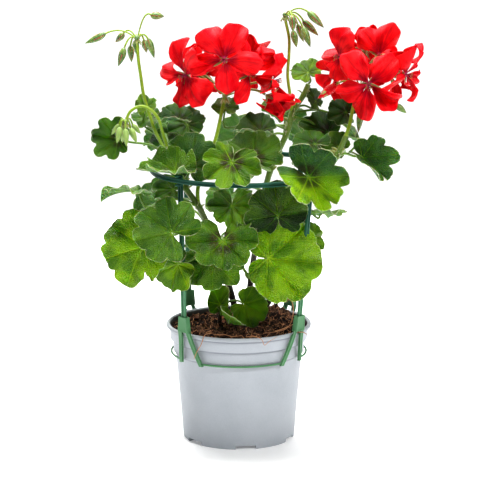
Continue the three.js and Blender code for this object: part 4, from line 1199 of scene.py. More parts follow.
SHOOTS = [
    dict(
        name="left", node="leafy_stem_left", radius=2.7,
        path=[(-2, 14, 80), (-2, 14, 97), (-7, 10, 121), (-17, 0, 156), (-24, -6, 177), (-33, -15, 198),
              (-44, -16, 214), (-56, -12, 237)],
        leaves=[
            leaf_on(4, (-53, -70, 187), 28, -8, 10, -58, long=0.1, glow=0.3, zone=0.1, dusk=0.75, notch=0.2,
                    teeth=0.03, sinus=160, back=0.12, by=[(-36, -46, 184), (-45, -61, 186)]),
            leaf_on(3.3, (-76, -56, 172.5), 30.5, -20, 12, -110, long=0.2, glow=0.85, zone=0, dusk=0,
                    teeth=0.02, shade=0, back=0.1, nick=(80, 7, 0.3), by=[(-58, -36, 168), (-69, -49, 168)]),
            leaf_on(3.6, (-49, -50, 157), 21, -24, 2, -118, long=0.2, glow=0.5, zone=0.1, dusk=0.2,
                    teeth=0.02, split=-0.35, by=[(-31, -38, 173), (-36, -46, 161)]),
            leaf_on(5, (-83, -30, 212.5), 26, 168, 78, 84, glow=0.3, dusk=0.5, ruffle=0.07),
            leaf_on(6.2, (-50, -45, 231), 27, 0, 76, -90, fold=30, curl=0, zone=0.5, ruffle=0.1, notch=0.24),
            leaf_on(6, (-39, -22, 232), 23, 0, 22, 8, long=0.25, glow=0.1, dusk=0.8, zone=0.5),
            leaf_on(6.8, (-48, -8, 268), 17, 0, 75, -85, fold=25, dusk=0.8, glow=0.05),
            leaf_on(5.8, (-52, 16, 254), 17, 0, 20, 170, glow=0.15, dusk=0.6),
            leaf_on(6.5, (-42, 8, 261), 17, 10, 45, -18, dusk=0.8, glow=0.1, zone=0.5),
            leaf_on(6.6, (-63, 12, 247), 11, -10, 60, -20, dusk=0.7, glow=0.1),
            leaf_on(6.9, (-98, -10, 252), 18.5, -15, 14, -84, long=0.3, glow=0.2, zone=0.9, dusk=0.5,
                    notch=0.34, teeth=0.02, fold=12),
            leaf_on(7, (-76, 8, 273), 12, 0, 40, 10, fold=42, glow=0.45, zone=0.1),
            leaf_on(6.75, (-72, 16, 266), 15, 0, 68, -100, glow=0.2, dusk=0.4),
            leaf_on(4.8, (-54, 6, 207), 17, -10, 55, -80, dusk=0.5),
            leaf_on(3.8, (-66, 44, 190), 25, -150, 24, 100),
            leaf_on(6.1, (-58, 46, 246), 23, -155, 40, 60),
        ],
        peduncles=[
            peduncle(5, 1.7, (-33, -15, 213), (-26, -12, 234), (-19, -10, 251), (-11, -5, 287)),
            peduncle(6.8, 1.5, (-67, -6, 256), (-73, -4, 273), (-77, -4, 287), (-79, -4, 301),
                     (-81, -4, 316), (-82, -4, 334)),
            peduncle(6.9, 1.4, (-61, -18, 257), (-65, -20, 271), (-71, -21, 278), (-79, -22, 281),
                     (-87, -23, 277), (-91, -24, 269)),
        ],
    ),
    dict(
        name="centre", node="leafy_stem_centre", radius=2.5,
        path=[(7, 18, 80), (7, 18, 97), (10, 12, 130), (14, 4, 161), (19, 0, 196), (27, 2, 227), (40, 5, 256),
              (44, 8, 271), (53, 10, 285), (57, 10, 294)],
        leaves=[
            leaf_on(4.9, (-5, -74, 244.5), 24.5, -5, 36, 195, long=0.0, notch=0.3, glow=0.45, zone=1,
                    ruffle=0.08, by=[(0, -52, 245), (-3, -64, 248.5)]),
            leaf_on(5.1, (11.5, -48, 243), 26, 5, 48, 8, glow=0.1, zone=1, shade=0.25, sinus=124, back=0.1),
            leaf_on(4.3, (-5, -52, 205), 20.5, -5, 24, 180, long=-0.12, glow=0.35, zone=0.3, dusk=0.5,
                    cup=-0.2, pleat=0.3, notch=0.26),
            leaf_on(3.1, (-12.5, -66, 179), 29, 0, 30, 178, curl=0.35, notch=0.2, cup=-0.15, long=-0.18,
                    zone=0.95, dusk=0.4, sinus=163, teeth=0.02, pleat=0.22, back=0.05),
            leaf_on(2, (-21, -44, 159), 26, 0, 30, 180, glow=0.3, zone=0.4, dusk=0.2, cup=-0.3, teeth=0.02,
                    shade=0.15, long=0),
            leaf_on(3.7, (31.5, -56, 198), 26, 0, -8, -6, glow=0.1, zone=0.2, dusk=0, shade=0.84, long=0.1,
                    curl=0.5, notch=0.2, teeth=0.02, split=0.3, side=180,
                    by=[(25, -24, 208), (29, -45, 204)]),
            leaf_on(5.9, (18, 0, 257), 20, 0, 75, -80, fold=22, dusk=0.6, glow=0.1, shade=0.3),
            leaf_on(6.8, (73, 12, 254), 18, 10, 30, -64, long=0.35, dusk=0.2, glow=0, zone=0.9, shade=0.65,
                    notch=0.26),
            leaf_on(7, (88, 16, 270), 14, 5, 30, -60, dusk=0.5, glow=0, zone=0.8, shade=0.5),
            leaf_on(8, (57, 20, 302), 14, -5, 52, -30, glow=0.6, zone=0.1),
            leaf_on(7.3, (63, 16, 279), 12, 60, 30, -20, dusk=0.4, shade=0.4),
            leaf_on(6.3, (8, 16, 257), 11, 0, 78, 100, dusk=0.5, shade=0.3),
            leaf_on(6.1, (-11, 24, 272), 12, 0, 55, 0, dusk=0.6),
            leaf_on(5.3, (6, 64, 241), 25, 175, 30, 10),
            leaf_on(3.4, (-6, 66, 190), 22, 185, 15, 160, glow=0.4),
            leaf_on(6.5, (38, 48, 264), 20, 160, 45, 0),
        ],
        peduncles=[
            peduncle(7, 1.4, (42, 8, 286), (40, 6, 302), (41, 5, 319), (41, 4, 333), (38, 3, 348),
                     (38, 3, 352)),
        ],
    ),
    dict(
        name="right", node="leafy_stem_right", radius=2.6,
        path=[(17, 8, 80), (17, 8, 97), (30, 2, 122), (44, -8, 149), (52, -15, 176), (55, -20, 200),
              (64, -22, 220), (78, -20, 237), (87, -14, 255)],
        leaves=[
            leaf_on(6, (56, -65.5, 231), 31, 14, 14, 128, long=0.04, notch=0.26, glow=0.38, zone=0.75,
                    dusk=0.4, ruffle=0.08, fold=40, split=0.65, side=132, back=0.0, teeth=0.025,
                    by=[(58, -45, 235), (57, -57, 235)]),
            leaf_on(3, (24, -55, 162.5), 32, -5, 15, 93, long=0.46, notch=0.1, glow=0.75, zone=0, dusk=0,
                    teeth=0.02, shade=0, cup=-0.25, pleat=0.26, back=0.0, nick=(-60, 3, 0.07),
                    by=[(32, -30, 158), (25, -43, 161)]),
            leaf_on(4, (59, -28, 174), 13, 40, 25, 90, glow=0.6, zone=0.1),
            leaf_on(4.7, (69, -18, 192), 17, 180, 70, -75, glow=0.5),
            leaf_on(6.8, (62, -10, 248), 17, 0, 60, -60, dusk=0.7, glow=0.1),
            leaf_on(7.2, (81, 0, 244), 14, 0, 40, -60, dusk=0.2, glow=0.35, zone=0.2),
            leaf_on(7.1, (101, -10, 237), 23, 30, 34, 137, long=0.3, notch=0.28, fold=44, glow=0.15,
                    zone=0.3, dusk=1, shade=0.15, back=0.1),
            leaf_on(4.2, (26, 64, 184), 28, 168, 10, -140, glow=0.4),
            leaf_on(6.2, (56, 52, 240), 22, 150, 35, -40),
            leaf_on(7.3, (100, 32, 244), 22, 110, 40, -60),
        ],
        peduncles=[peduncle(8, 1.7, (90, -12, 264), (94, -8, 282), (99, -4, 293))],
    ),
    dict(
        name="basal", node="basal_shoot", radius=1.8,
        path=[(-16, -2, 80), (-16, -2, 96), (-15, -4, 108)],
        leaves=[
            leaf_on(2, (4.5, -22, 117), 16, 5, 14, 118, long=0.3, glow=0.55, zone=0.1, dusk=0, teeth=0.02,
                    notch=0.1, fold=10, back=0.1, sinus=160),
            leaf_on(1.9, (-15.5, -6, 113), 14.5, -10, 20, 8, fold=50, glow=0.9, zone=0.2, dusk=0, teeth=0.02,
                    notch=0.08, shade=0),
            leaf_on(1.8, (-7, -25, 104), 13, 62, 54, -100, glow=1, zone=0, cup=0.45, notch=0.03, teeth=0.01,
                    curl=-0.3, shade=0, ruffle=0, wave=0, pleat=0.05),
        ],
        peduncles=[],
    ),
]
print("shoots:", [(s["name"], len(s["leaves"])) for s in SHOOTS])

# %% Model the blades
BLADE_THICKNESS = 0.4
FINE_GRID, PLAIN_GRID = (24, 147), (16, 105)  # rings round the stalk, and columns from it to the edge
LARGE_LEAF = 22  # radius in mm from which a blade gets the finer grid


def model_blade(leaf):
    select_only()
    blade, share, across = flat_sheet(*(FINE_GRID if leaf["r"] >= LARGE_LEAF else PLAIN_GRID))
    mesh = blade.data
    turn = across * math.radians(leaf["sinus"]) / VEIN_STEP
    angle = (turn - 0.07 * np.sin(2 * math.pi * turn)) * VEIN_STEP  # columns gather at the veins
    points, plan = leaf_surface(leaf, share, angle)
    put_points(blade, leaf["at"] + leaf["r"] * points @ leaf_axes(**leaf))
    corner = np.array([loop.vertex_index for loop in mesh.loops])
    mesh.uv_layers[0].data.foreach_set("uv", (plan[corner] * PLAN_SCALE + 0.5).ravel())
    side = math.radians(leaf["side"])  # one half of the blade may be painted duskier, with more painted shade and less painted glow, than the other
    half = leaf["split"] * np.tanh(4 * (plan[:, 0] * math.cos(side) + plan[:, 1] * math.sin(side)))
    looks = [leaf["glow"] - half, 0 * half + leaf["zone"], leaf["dusk"] + half, leaf["shade"] + 0.6 * half]
    tone = mesh.color_attributes.new("leaf_tone", "FLOAT_COLOR", "POINT")
    tone.data.foreach_set("color", np.clip(np.stack(looks, 1), 0, 1).ravel())
    torn_share = share + 0.08 * torn(angle, leaf) * (leaf["nick"][2] > 0) * share**6
    mesh.attributes.new("leaf_share", "FLOAT", "POINT").data.foreach_set("value", torn_share)
    edit_all(blade)
    bpy.ops.mesh.remove_doubles(threshold=0.02 * MM)
    leave_edit()
    paint(blade, leaf_upper, leaf_under, leaf_edge)
    bpy.ops.object.shade_smooth()
    apply_modifier(
        blade, "SOLIDIFY", thickness=BLADE_THICKNESS * MM, offset=0, material_offset=1, material_offset_rim=2
    )
    return blade


for number, shoot in enumerate(SHOOTS):
    for k, leaf in enumerate(shoot["leaves"]):
        leaf["phase"] = 1.7 * k + number  # no two leaves are waved alike
    blades = [model_blade(leaf) for leaf in shoot["leaves"]]
    shoot["blades"] = join_pieces("leaf_blades_" + shoot["name"], blades)
    hand_over(shoot["blades"], "foliage")

# %% [markdown]
# ## Stems, petioles and flower stalks
# The old wood at the bottom is brownish, the stems turn green upwards and the flower stalks are bright
# yellow-green. All are downy. A stem is a little thicker where a leaf leaves it. One recipe makes the four
# stalk materials: each goes from one of its own two colours to the other between two heights.

# %% Stalk materials


def stalk_material(name, low, high, rise_from, rise_to, sheen):
    material, wires, principled = new_material(
        name, roughness=0.42, specular_ior_level=0.4, subsurface_weight=0.1, subsurface_scale=0.0008,
        subsurface_radius=(0.8, 1.0, 0.1), sheen_weight=sheen,
    )
    place = object_place(wires)
    mottle, fine = wires.noise(place, 180, 3), wires.noise(place, 900, 2)
    level = wires.plus(wires.axes(place)["Z"], wires.times(wires.minus(mottle, 0.5), 0.05))
    colour = wires.mix(wires.rise(level, rise_from, rise_to), low, high)
    colour = wires.mix(wires.rise(mottle, 0.35, 0.7), colour, (0.8, 0.85, 0.75), "MULTIPLY")
    relief = wires.plus(mottle, wires.times(fine, 0.5))
    connect(wires, principled, base_color=colour, normal=wires.bump(relief, 0.0003))
    return material


stem_green = stalk_material("stem_green", (0.045, 0.03, 0.02), (0.12, 0.2, 0.03), 0.14, 0.235, 0.05)
petiole_green = stalk_material("petiole_green", (0.2, 0.32, 0.05), (0.12, 0.24, 0.025), 0.12, 0.3, 0.05)
peduncle_green = stalk_material("peduncle_green", (0.24, 0.38, 0.02), (0.3, 0.43, 0.03), 0.2, 0.35, 0.04)
pedicel_red = stalk_material("pedicel_red", (0.2, 0.26, 0.03), (0.26, 0.12, 0.05), 0.27, 0.33, 0.04)
STALKS = [stem_green, petiole_green, peduncle_green, pedicel_red]
STEM, PETIOLE, PEDUNCLE, PEDICEL = range(4)  # their places in that list
print("stalk materials:", [m.name for m in STALKS])

# %% Paths of stems and petioles


def point_on(path, at):
    before = int(at)
    after = min(before + 1, len(path) - 1)
    return np.array(path[before], float) * (1 - at + before) + np.array(path[after], float) * (at - before)


def stem_run(shoot):
    points, where = smooth_path(shoot["path"], 8)
    radii = shoot["radius"] * np.linspace(1.06, 0.86, len(points))
    for leaf in shoot["leaves"]:
        radii *= 1 + 0.13 * np.exp(-(((where - leaf["stem"]) / 0.07) ** 2))
    return points, radii, STEM


def petiole_run(shoot, leaf):
    midrib, across, face = leaf_axes(**leaf)
    start = point_on(shoot["path"], leaf["stem"])
    end = leaf["at"] - 0.9 * midrib - 0.25 * face
    join = leaf["at"] - 2.6 * midrib + 0.4 * across - 0.9 * face
    reach = np.linalg.norm(join - start)
    below = join - 0.22 * reach * face - 0.12 * reach * midrib
    rise = start * 0.55 + below * 0.45 + np.array([0, 0, 0.12 * reach])
    points, _ = smooth_path([start, *(leaf["by"] or [rise, below]), join, end], 6)
    share = np.linspace(0, 1, len(points))
    thick = 0.75 + 0.017 * leaf["r"]
    return points, thick * (1 + 0.5 * np.exp(-((share / 0.06) ** 2)) - 0.25 * share), PETIOLE


def peduncle_run(shoot, stalk):
    points, _ = smooth_path([point_on(shoot["path"], stalk["stem"]), *stalk["path"]], 8)
    share = np.linspace(0, 1, len(points))
    flare = 0.35 * np.exp(-((share / 0.05) ** 2)) + 0.2 * np.exp(-(((1 - share) / 0.04) ** 2))
    return points, stalk["radius"] * (0.95 + flare - 0.12 * share), PEDUNCLE


for shoot in SHOOTS:
    shoot["runs"] = [stem_run(shoot)]
    shoot["runs"] += [petiole_run(shoot, leaf) for leaf in shoot["leaves"]]
    shoot["runs"] += [peduncle_run(shoot, stalk) for stalk in shoot["peduncles"]]
print("runs:", [len(s["runs"]) for s in SHOOTS])

# %% [markdown]
# ## Where the flowers are
# Each umbel has a hub at the end of its stalk. Flowers and buds hang from it on pedicels. The hubs are the
# CAD's. The flowers follow the photograph: most are within 5 mm of the CAD's, and four of the left head are
# 11 to 20 mm off. A few buds are added.

# %% Umbels and bud clusters, in mm and degrees


def flower_at(at, yaw, pitch, tip, size, **look):
    """A flower by its throat, its turn and its petals' length. Open is 1 when its petals are spread, apart
    is the turn of its two upper petals and lost numbers the petals that have fallen."""
    place = dict(at=np.array(at, float), yaw=yaw, pitch=pitch, tip=tip, size=size)
    return {"open": 1, "apart": 27, "lost": (), **place, **look}


def bud_at(base, tip, wide=2.7, kind="green"):
    """A bud by its two ends, its half width and its kind."""
    return dict(base=np.array(base, float), tip=np.array(tip, float), wide=wide, kind=kind)


UMBELS = [
    dict(
        name="bloom_left", shoot=0, hub=(-11, -5, 287),
        flowers=[
            flower_at((-42, -16, 306), -36, -8, 23, 27),
            flower_at((-11, -36, 321), -8, 8, -2, 26),
            flower_at((8, -22, 307), 36, 8, 20, 23),
            flower_at((27, -14, 301), 102, 4, 2, 20),
            flower_at((22, -20, 290), 96, -36, 0, 25, open=0.36),
            flower_at((-28, 13, 301), -130, 20, -20, 19),
            flower_at((6, 18, 309), 145, 30, 0, 19),
            flower_at((-14, 33, 304), 180, 0, 0, 19),
        ],
        buds=[],
    ),
    dict(
        name="bloom_right", shoot=2, hub=(99, -4, 293),
        flowers=[
            flower_at((104, -31, 301), 0, -6, 6, 26, apart=34),
            flower_at((83, -14, 320), -56, 8, 10, 21),
            flower_at((113, -8, 320), 10, 14, 2, 20, apart=33, lost=(1, 3)),
            flower_at((134, -8, 305), 56, 2, 4, 21),
            flower_at((104, 27, 320), 175, 30, 0, 20),
            flower_at((125, 24, 299), 140, 5, 0, 18),
            flower_at((80, 14, 302), -140, 0, 0, 18),
        ],
        buds=[
            bud_at((79, -16, 298), (64, -20, 287), 3.6, "red"),
            bud_at((127, -12, 281), (136, -14, 274), 2.6),
            bud_at((99, -12, 277), (97, -14, 258), 2.8),
        ],
    ),
]
BUD_CLUSTERS = [
    dict(
        shoot=0, hub=(-82, -4, 334), bracts=7,
        buds=[
            bud_at((-107, -6, 338), (-124, -8, 330), 3),
            bud_at((-71, -2, 352), (-60, 0, 351), 3.2),
            bud_at((-93, 4, 337), (-100, 6, 329)),
            bud_at((-92, -10, 327), (-97, -12, 312), 3),
            bud_at((-88, 4, 327), (-87, 5, 313)),
            bud_at((-84, 10, 329), (-83, 13, 318)),
            bud_at((-77, 8, 331), (-75, 10, 320)),
            bud_at((-73, -6, 334), (-68, -8, 318), 2.8),
        ],
    ),
    dict(
        shoot=1, hub=(38, 3, 352), bracts=7,
        buds=[
            bud_at((56, 0, 355), (69, -2, 342), 3.2),
            bud_at((52, 8, 347), (65, 10, 334), 3),
            bud_at((52, -6, 343), (58, -8, 327), 3),
            bud_at((43, -10, 353), (44, -12, 340), 3),
            bud_at((44, -2, 340), (47, -2, 326), 2.8),
            bud_at((48, 14, 343), (53, 16, 328)),
        ],
    ),
    dict(
        shoot=0, hub=(-91, -24, 269), bracts=13,
        buds=[
            bud_at((-95, -27, 265), (-98, -29, 252), 2.6, "young"),
            bud_at((-91, -29, 264), (-90, -33, 250), 2.6, "young"),
            bud_at((-87, -26, 264), (-82, -28, 252), 2.6, "young"),
            bud_at((-93, -22, 264), (-94, -21, 251), 2.4, "young"),
            bud_at((-96, -20, 266), (-103, -18, 257), 2.2, "young"),
            bud_at((-86, -20, 266), (-79, -19, 258), 2.2, "young"),
        ],
    ),
]
HUB_RADIUS = 2.6
UP = np.array([0, 0, 1.0])


def unit(v):
    return v / np.linalg.norm(v)


def pedicel_run(hub, flower):
    centre, face = flower["at"], leaf_axes(**flower)[2]
    start = hub + 0.6 * HUB_RADIUS * unit(centre - hub)
    reach = np.linalg.norm(centre - start)
    first = start * 0.65 + centre * 0.35 + 0.1 * reach * UP
    points = bezier_path([start, first, centre - 0.4 * reach * face, centre - 0.6 * face], 12)
    share = np.linspace(0, 1, len(points))
    return points, 0.62 + 0.42 / (1 + np.exp(-(share - 0.45) * 14)), PEDICEL


def bud_stalk_run(hub, bud):
    base = bud["base"]
    start = hub + 0.6 * HUB_RADIUS * unit(base - hub)
    rise = (start + base) / 2
    rise[2] = max(start[2], base[2]) + 6.5
    points = bezier_path([start, rise, base + 0.08 * (bud["tip"] - base)], 9)
    return points, np.linspace(0.55, 0.75, len(points)), PEDUNCLE


for head in UMBELS + BUD_CLUSTERS:
    head["hub"] = np.array(head["hub"], float)
    runs = [pedicel_run(head["hub"], flower) for flower in head.get("flowers", [])]
    runs += [bud_stalk_run(head["hub"], bud) for bud in head["buds"]]
    SHOOTS[head["shoot"]]["runs"] += runs
for shoot in SHOOTS:
    shoot["stalks"] = round_stalks("stalks_" + shoot["name"], shoot["runs"], 10, STALKS)
    hand_over(shoot["stalks"], "foliage", shoot["node"])

# %% [markdown]
# ## Sepals, bracts and stipules
# Small pointed green blades sit behind every flower, round every hub and at each leaf's foot. They have
# one shape: widest a third of the way up, folded a little along the middle and pointed. It is a formula on
# a small grid, and each blade gets its own length, width and backward bend, in mm and radians.

# %% Small blades
small_green, wires, principled = new_material("sepal_green", roughness=0.5, sheen_weight=0.3)
place = object_place(wires)
height = wires.noise(place, 160, 2)
middle = wires.off(wires.axes(plan_place(wires))["Y"], 0.5)
colour = wires.mix(wires.rise(height, 0.35, 0.65), (0.13, 0.22, 0.04), (0.3, 0.36, 0.07))
colour = wires.mix(wires.rise(middle, 0.3, 0.5), colour, (0.42, 0.44, 0.22))
colour = wires.mix(wires.fall(middle, 0.0, 0.09), colour, (0.3, 0.12, 0.06))
connect(wires, principled, base_color=colour, normal=wires.bump(height, 0.0002))


def small_blade(root, along, face, length, width, bend):
    """A pointed blade from root, in mm. Bend turns it away from its face."""
    blade, s, t = flat_sheet(8, 4)
    across = np.cross(face, along)
    half = width / 2 * (0.45 * (1 - s) + 1.9 * s**0.8 * (1 - s)) + 0.02 * width
    turn = bend * s
    forward, back = length * np.sin(turn) / bend, length * (1 - np.cos(turn)) / bend
    points = np.array(root) + np.outer(forward, along) + np.outer(half * t, across)
    put_points(blade, points + np.outer(0.35 * half * np.abs(t) - back, face))
    paint(blade, small_green)
    return blade


def ring_of_blades(hub, axes, count, length, width, lean, bend, twist=0.0):
    """Blades round an axis, leaning away from it by lean."""
    x, y, face = axes
    blades = []
    for k in range(count):
        turn = 2 * math.pi * (k + 0.5) / count + twist
        out = x * math.cos(turn) + y * math.sin(turn)
        along = out * math.sin(lean) + face * math.cos(lean)
        inner = face * math.sin(lean) - out * math.cos(lean)
        blades.append(small_blade(hub + 0.8 * along, along, inner, length, width, bend))
    return blades


def axes_about(direction):
    z = unit(np.array(direction, float))
    x = unit(np.cross(z, (0.31, 0.95, 0.1)))
    return np.array([x, np.cross(z, x), z])


print("small blades will be painted", small_green.name)

# %% Sepals behind each flower, bracts round each hub, stipules at each leaf's foot
DOWNWARDS = axes_about((0, 0, -1))
select_only()
for shoot in SHOOTS:
    shoot["greens"] = []
for umbel in UMBELS:
    greens = SHOOTS[umbel["shoot"]]["greens"]
    for number, flower in enumerate(umbel["flowers"]):
        axes, long = leaf_axes(**flower), 0.45 * flower["size"]
        lean = 1.45 if flower["open"] > 0.9 else 0.75
        greens += ring_of_blades(
            flower["at"] - 0.6 * axes[2], axes, count=5, length=long, width=3.1, lean=lean, bend=0.7,
            twist=0.2 * number,
        )
    greens += ring_of_blades(
        umbel["hub"] - (0, 0, 1.2), DOWNWARDS, count=8, length=6.5, width=2.6, lean=1.0, bend=-0.8
    )
    for bud in umbel["buds"]:
        if bud["kind"] == "red":
            axes = axes_about(bud["tip"] - bud["base"])
            greens += ring_of_blades(
                bud["base"], axes, count=5, length=15, width=4.2, lean=0.42, bend=-0.5
            )
for cluster in BUD_CLUSTERS:
    SHOOTS[cluster["shoot"]]["greens"] += ring_of_blades(
        cluster["hub"] - (0, 0, 0.6), DOWNWARDS, cluster["bracts"], length=6, width=2.4, lean=1.1, bend=-0.9
    )
for shoot in SHOOTS:
    greens = shoot["greens"]
    for leaf in shoot["leaves"]:
        root = point_on(shoot["path"], leaf["stem"])
        out = unit(leaf["at"] - root)
        side = unit(np.cross(out, UP))
        for sign in (-1, 1):
            along = unit(out * 0.3 + sign * side + 0.7 * UP)
            face = unit(np.cross(np.cross(along, out), along))
            foot = root + shoot["radius"] * 0.7 * along
            greens.append(small_blade(foot, along, face, length=5.5, width=3.6, bend=0.5))
    whole = join_pieces("sepals_and_stipules_" + shoot["name"], greens)
    bpy.ops.object.shade_smooth()
    apply_modifier(whole, "SOLIDIFY", thickness=0.3 * MM, offset=0)
    hand_over(whole, "foliage")

# %% [markdown]
# ## Buds and hubs
# A bud is closed by five sepals that meet along five pale seams and end in a point. Older buds show a
# crimson streak between the seams. A sphere is stretched along the bud, given a spindle's profile and
# ridged five times round.

# %% Bud material and shape
bud_green, wires, principled = new_material("bud_green", roughness=0.45, sheen_weight=0.25)
turn = wires.axes(plan_place(wires))["X"]
seam = wires.off(wires.math("FRACT", wires.times(turn, 5)), 0.5)
place = object_place(wires)
mottle = wires.noise(place, 260, 3)
colour = wires.mix(wires.rise(mottle, 0.35, 0.65), (0.05, 0.14, 0.015), (0.17, 0.29, 0.04))
streak = wires.times(wires.fall(seam, 0.05, 0.13), wires.rise(wires.noise(place, 75, 1), 0.45, 0.52))
colour = wires.mix(wires.times(streak, 0.9), colour, (0.45, 0.02, 0.05))
colour = wires.mix(wires.times(wires.rise(seam, 0.42, 0.49), 0.7), colour, (0.4, 0.5, 0.25))
connect(wires, principled, base_color=colour, normal=wires.bump(seam, 0.0003))

BUD_LOOKS = dict(
    green=bud_green,
    red=two_tone(
        "bud_red", 200, 3, (0.4, 0.0, 0.008), (0.85, 0.006, 0.014), roughness=0.6, specular_ior_level=0.15
    ),
    young=two_tone("bud_young", 400, 3, (0.16, 0.3, 0.03), (0.42, 0.56, 0.16), sheen_weight=0.3),
)
BUD_PROFILE = (  # share of the bud's length, share of its half width
    (0, 0.2), (0.07, 0.6), (0.18, 0.88), (0.33, 1), (0.5, 0.93), (0.7, 0.68), (0.88, 0.33), (1, 0.03)
)


def model_bud(base, tip, wide, kind):
    x, y, _ = axes_about(tip - base)
    bpy.ops.mesh.primitive_uv_sphere_add(segments=30, ring_count=16, radius=1)
    bud = bpy.context.object
    ball = np.array([v.co for v in bud.data.vertices])
    share = (1 + ball[:, 2]) / 2
    turn = np.arctan2(ball[:, 1], ball[:, 0])
    radius = wide * np.interp(share, *zip(*BUD_PROFILE)) * (1 + 0.05 * np.cos(5 * turn))
    bow = 0.05 * np.sin(math.pi * share)
    points = base + np.outer(share, tip - base)
    points += np.outer(radius * np.cos(turn) + bow * wide, x) + np.outer(radius * np.sin(turn), y)
    put_points(bud, points)
    paint(bud, BUD_LOOKS[kind])
    return bud


def model_hub(hub):
    bpy.ops.mesh.primitive_uv_sphere_add(segments=16, ring_count=10, radius=HUB_RADIUS * MM)
    ball = bpy.context.object
    ball.scale = (0.95, 0.95, 0.8)
    ball.location = Vector(hub) * MM
    place_in_mesh(ball)
    ball.data.uv_layers[0].name = "plan"
    paint(ball, bud_green)
    return ball


print("bud materials:", [m.name for m in BUD_LOOKS.values()])

# %% Set out the buds and hubs
for number, shoot in enumerate(SHOOTS[:3]):
    select_only()
    heads = [head for head in BUD_CLUSTERS + UMBELS if head["shoot"] == number]
    parts = [model_bud(**bud) for head in heads for bud in head["buds"]]
    parts += [model_hub(head["hub"]) for head in heads]
    shoot["buds"] = join_pieces("buds_" + shoot["name"], parts)
    bpy.ops.object.shade_smooth()
    hand_over(shoot["buds"], "foliage")

# %% [markdown]
# ## Petals
# A geranium flower has five broad petals: two stand up and three spread below. Each starts as a narrow
# claw at the throat and widens to a rounded, wavy blade. The petal is a grid again, one side going out and
# the other across. A seeded draw gives every petal its own length, fold, ruffle and roll, as in a real head.

# %% Petal material
petal_scarlet, wires, principled = new_material(
    "petal_scarlet", roughness=0.5, specular_ior_level=0.12, subsurface_weight=0.12, subsurface_scale=0.0008,
    subsurface_radius=(1.0, 0.05, 0.05),
)
out, across, _ = wires.axes(plan_place(wires))
lines = wires.noise(wires.vector("MULTIPLY", plan_place(wires), (1.6, 22, 0)), 1.0, 4, 0.6)
place = object_place(wires)
cloud = wires.noise(place, 70, 2)
red = wires.mix(wires.rise(cloud, 0.35, 0.65), (0.68, 0.0, 0.008), (1.0, 0.012, 0.018))
red = wires.mix(wires.times(wires.rise(lines, 0.5, 0.68), 0.6), red, (0.36, 0.0, 0.006))
# Deeper red towards the throat: partly the petal's own colour, partly painted shade in the throat.
near = wires.fall(out, 0.14, 0.5)
red = wires.mix(wires.times(near, 0.65), red, (0.36, 0.0, 0.02))
dark_lines = wires.times(wires.rise(lines, 0.5, 0.6), wires.fall(out, 0.15, 0.5))
red = wires.mix(wires.times(dark_lines, 0.75), red, (0.12, 0.0, 0.02))
# Painted shade: a darker line along each petal's midline, where it creases.
middle = wires.fall(wires.off(across, 0.5), 0.0, 0.07)
red = wires.mix(wires.times(middle, 0.35), red, (0.3, 0.0, 0.006))
throat = wires.times(wires.fall(out, 0.03, 0.13), 0.8)
red = wires.mix(throat, red, (0.75, 0.08, 0.28))
relief = wires.plus(lines, wires.times(wires.noise(place, 900, 2), 0.2))
connect(wires, principled, base_color=red, normal=wires.bump(relief, 0.0009))
print("petal material ready")

# %% Petal shape
PETALS = 5
PETAL_THICKNESS = 0.3
PETAL_ROOT = 0.75  # how far above the throat's centre the petals start, in mm


def model_petal(flower, k, draw):
    petal, s, t = flat_sheet(22, 20)
    upper = k in (0, PETALS - 1)
    length = (1.22 if upper else 1.1) * (1 + 0.08 * draw.normal())
    half = math.radians(40 if upper else 33) * (1 + 0.1 * draw.normal())
    apart = flower["apart"]
    places = (apart, 72 + 1.3 * apart, 180, 288 - 1.3 * apart, 360 - apart)
    middle = math.radians(places[k]) + 0.12 * draw.normal()
    fold, ruffle = 0.42 * draw.normal() - 0.15, 0.14 + 0.12 * draw.random()
    roll, phase = 0.3 + 1.6 * draw.random(), ROUND * draw.random()
    twist, tilt = 0.25 * draw.normal(), 0.18 * draw.normal()
    claw = 0.55 + 0.45 * np.clip(s / 0.45, 0, 1) ** 1.2
    angle = middle + half * t * claw * (1 - 0.12 * s) + 0.05 * np.sin(4 * s + phase)
    scallop = 0.03 * s * np.cos(5.3 * t + phase) + 0.015 * s * np.cos(11 * t + 2 * phase)
    r = length * s * (1 - 0.36 * np.abs(t) ** 2.3 * s) * (1 + scallop)
    lift = (0.7 if upper else 0.4) + 1 - flower["open"] + tilt
    h = lift * r - 0.32 * r**2 - roll * np.clip(s - 0.6, 0, 1) ** 2
    h += fold * t**2 * r + twist * t * s + (0.06 if k % 2 else -0.02) * s
    h += ruffle * s**2 * np.sin(3.6 * t + 2.4 * s + phase)
    h += 0.45 * ruffle * s**2 * np.sin(8.5 * t + 2 * phase)
    h += 0.1 * np.abs(t + 0.3 * np.sin(phase)) * s * (1 - 0.7 * s)
    midrib, over, face = leaf_axes(**flower)
    out = midrib * math.cos(middle) + over * math.sin(middle)
    side = over * math.cos(middle) - midrib * math.sin(middle)
    away, aside = r * np.cos(angle - middle) * flower["open"], r * np.sin(angle - middle)
    wrap = (1 - flower["open"]) * 1.1 * aside**2 / (r + 0.05)
    blade = np.outer(away - wrap, out) + np.outer(aside, side) + np.outer(h, face)
    put_points(petal, flower["at"] + PETAL_ROOT * face + flower["size"] * blade)
    edit_all(petal)
    bpy.ops.mesh.remove_doubles(threshold=0.02 * MM)
    leave_edit()
    return petal


print("a full flower has", PETALS, "petals")

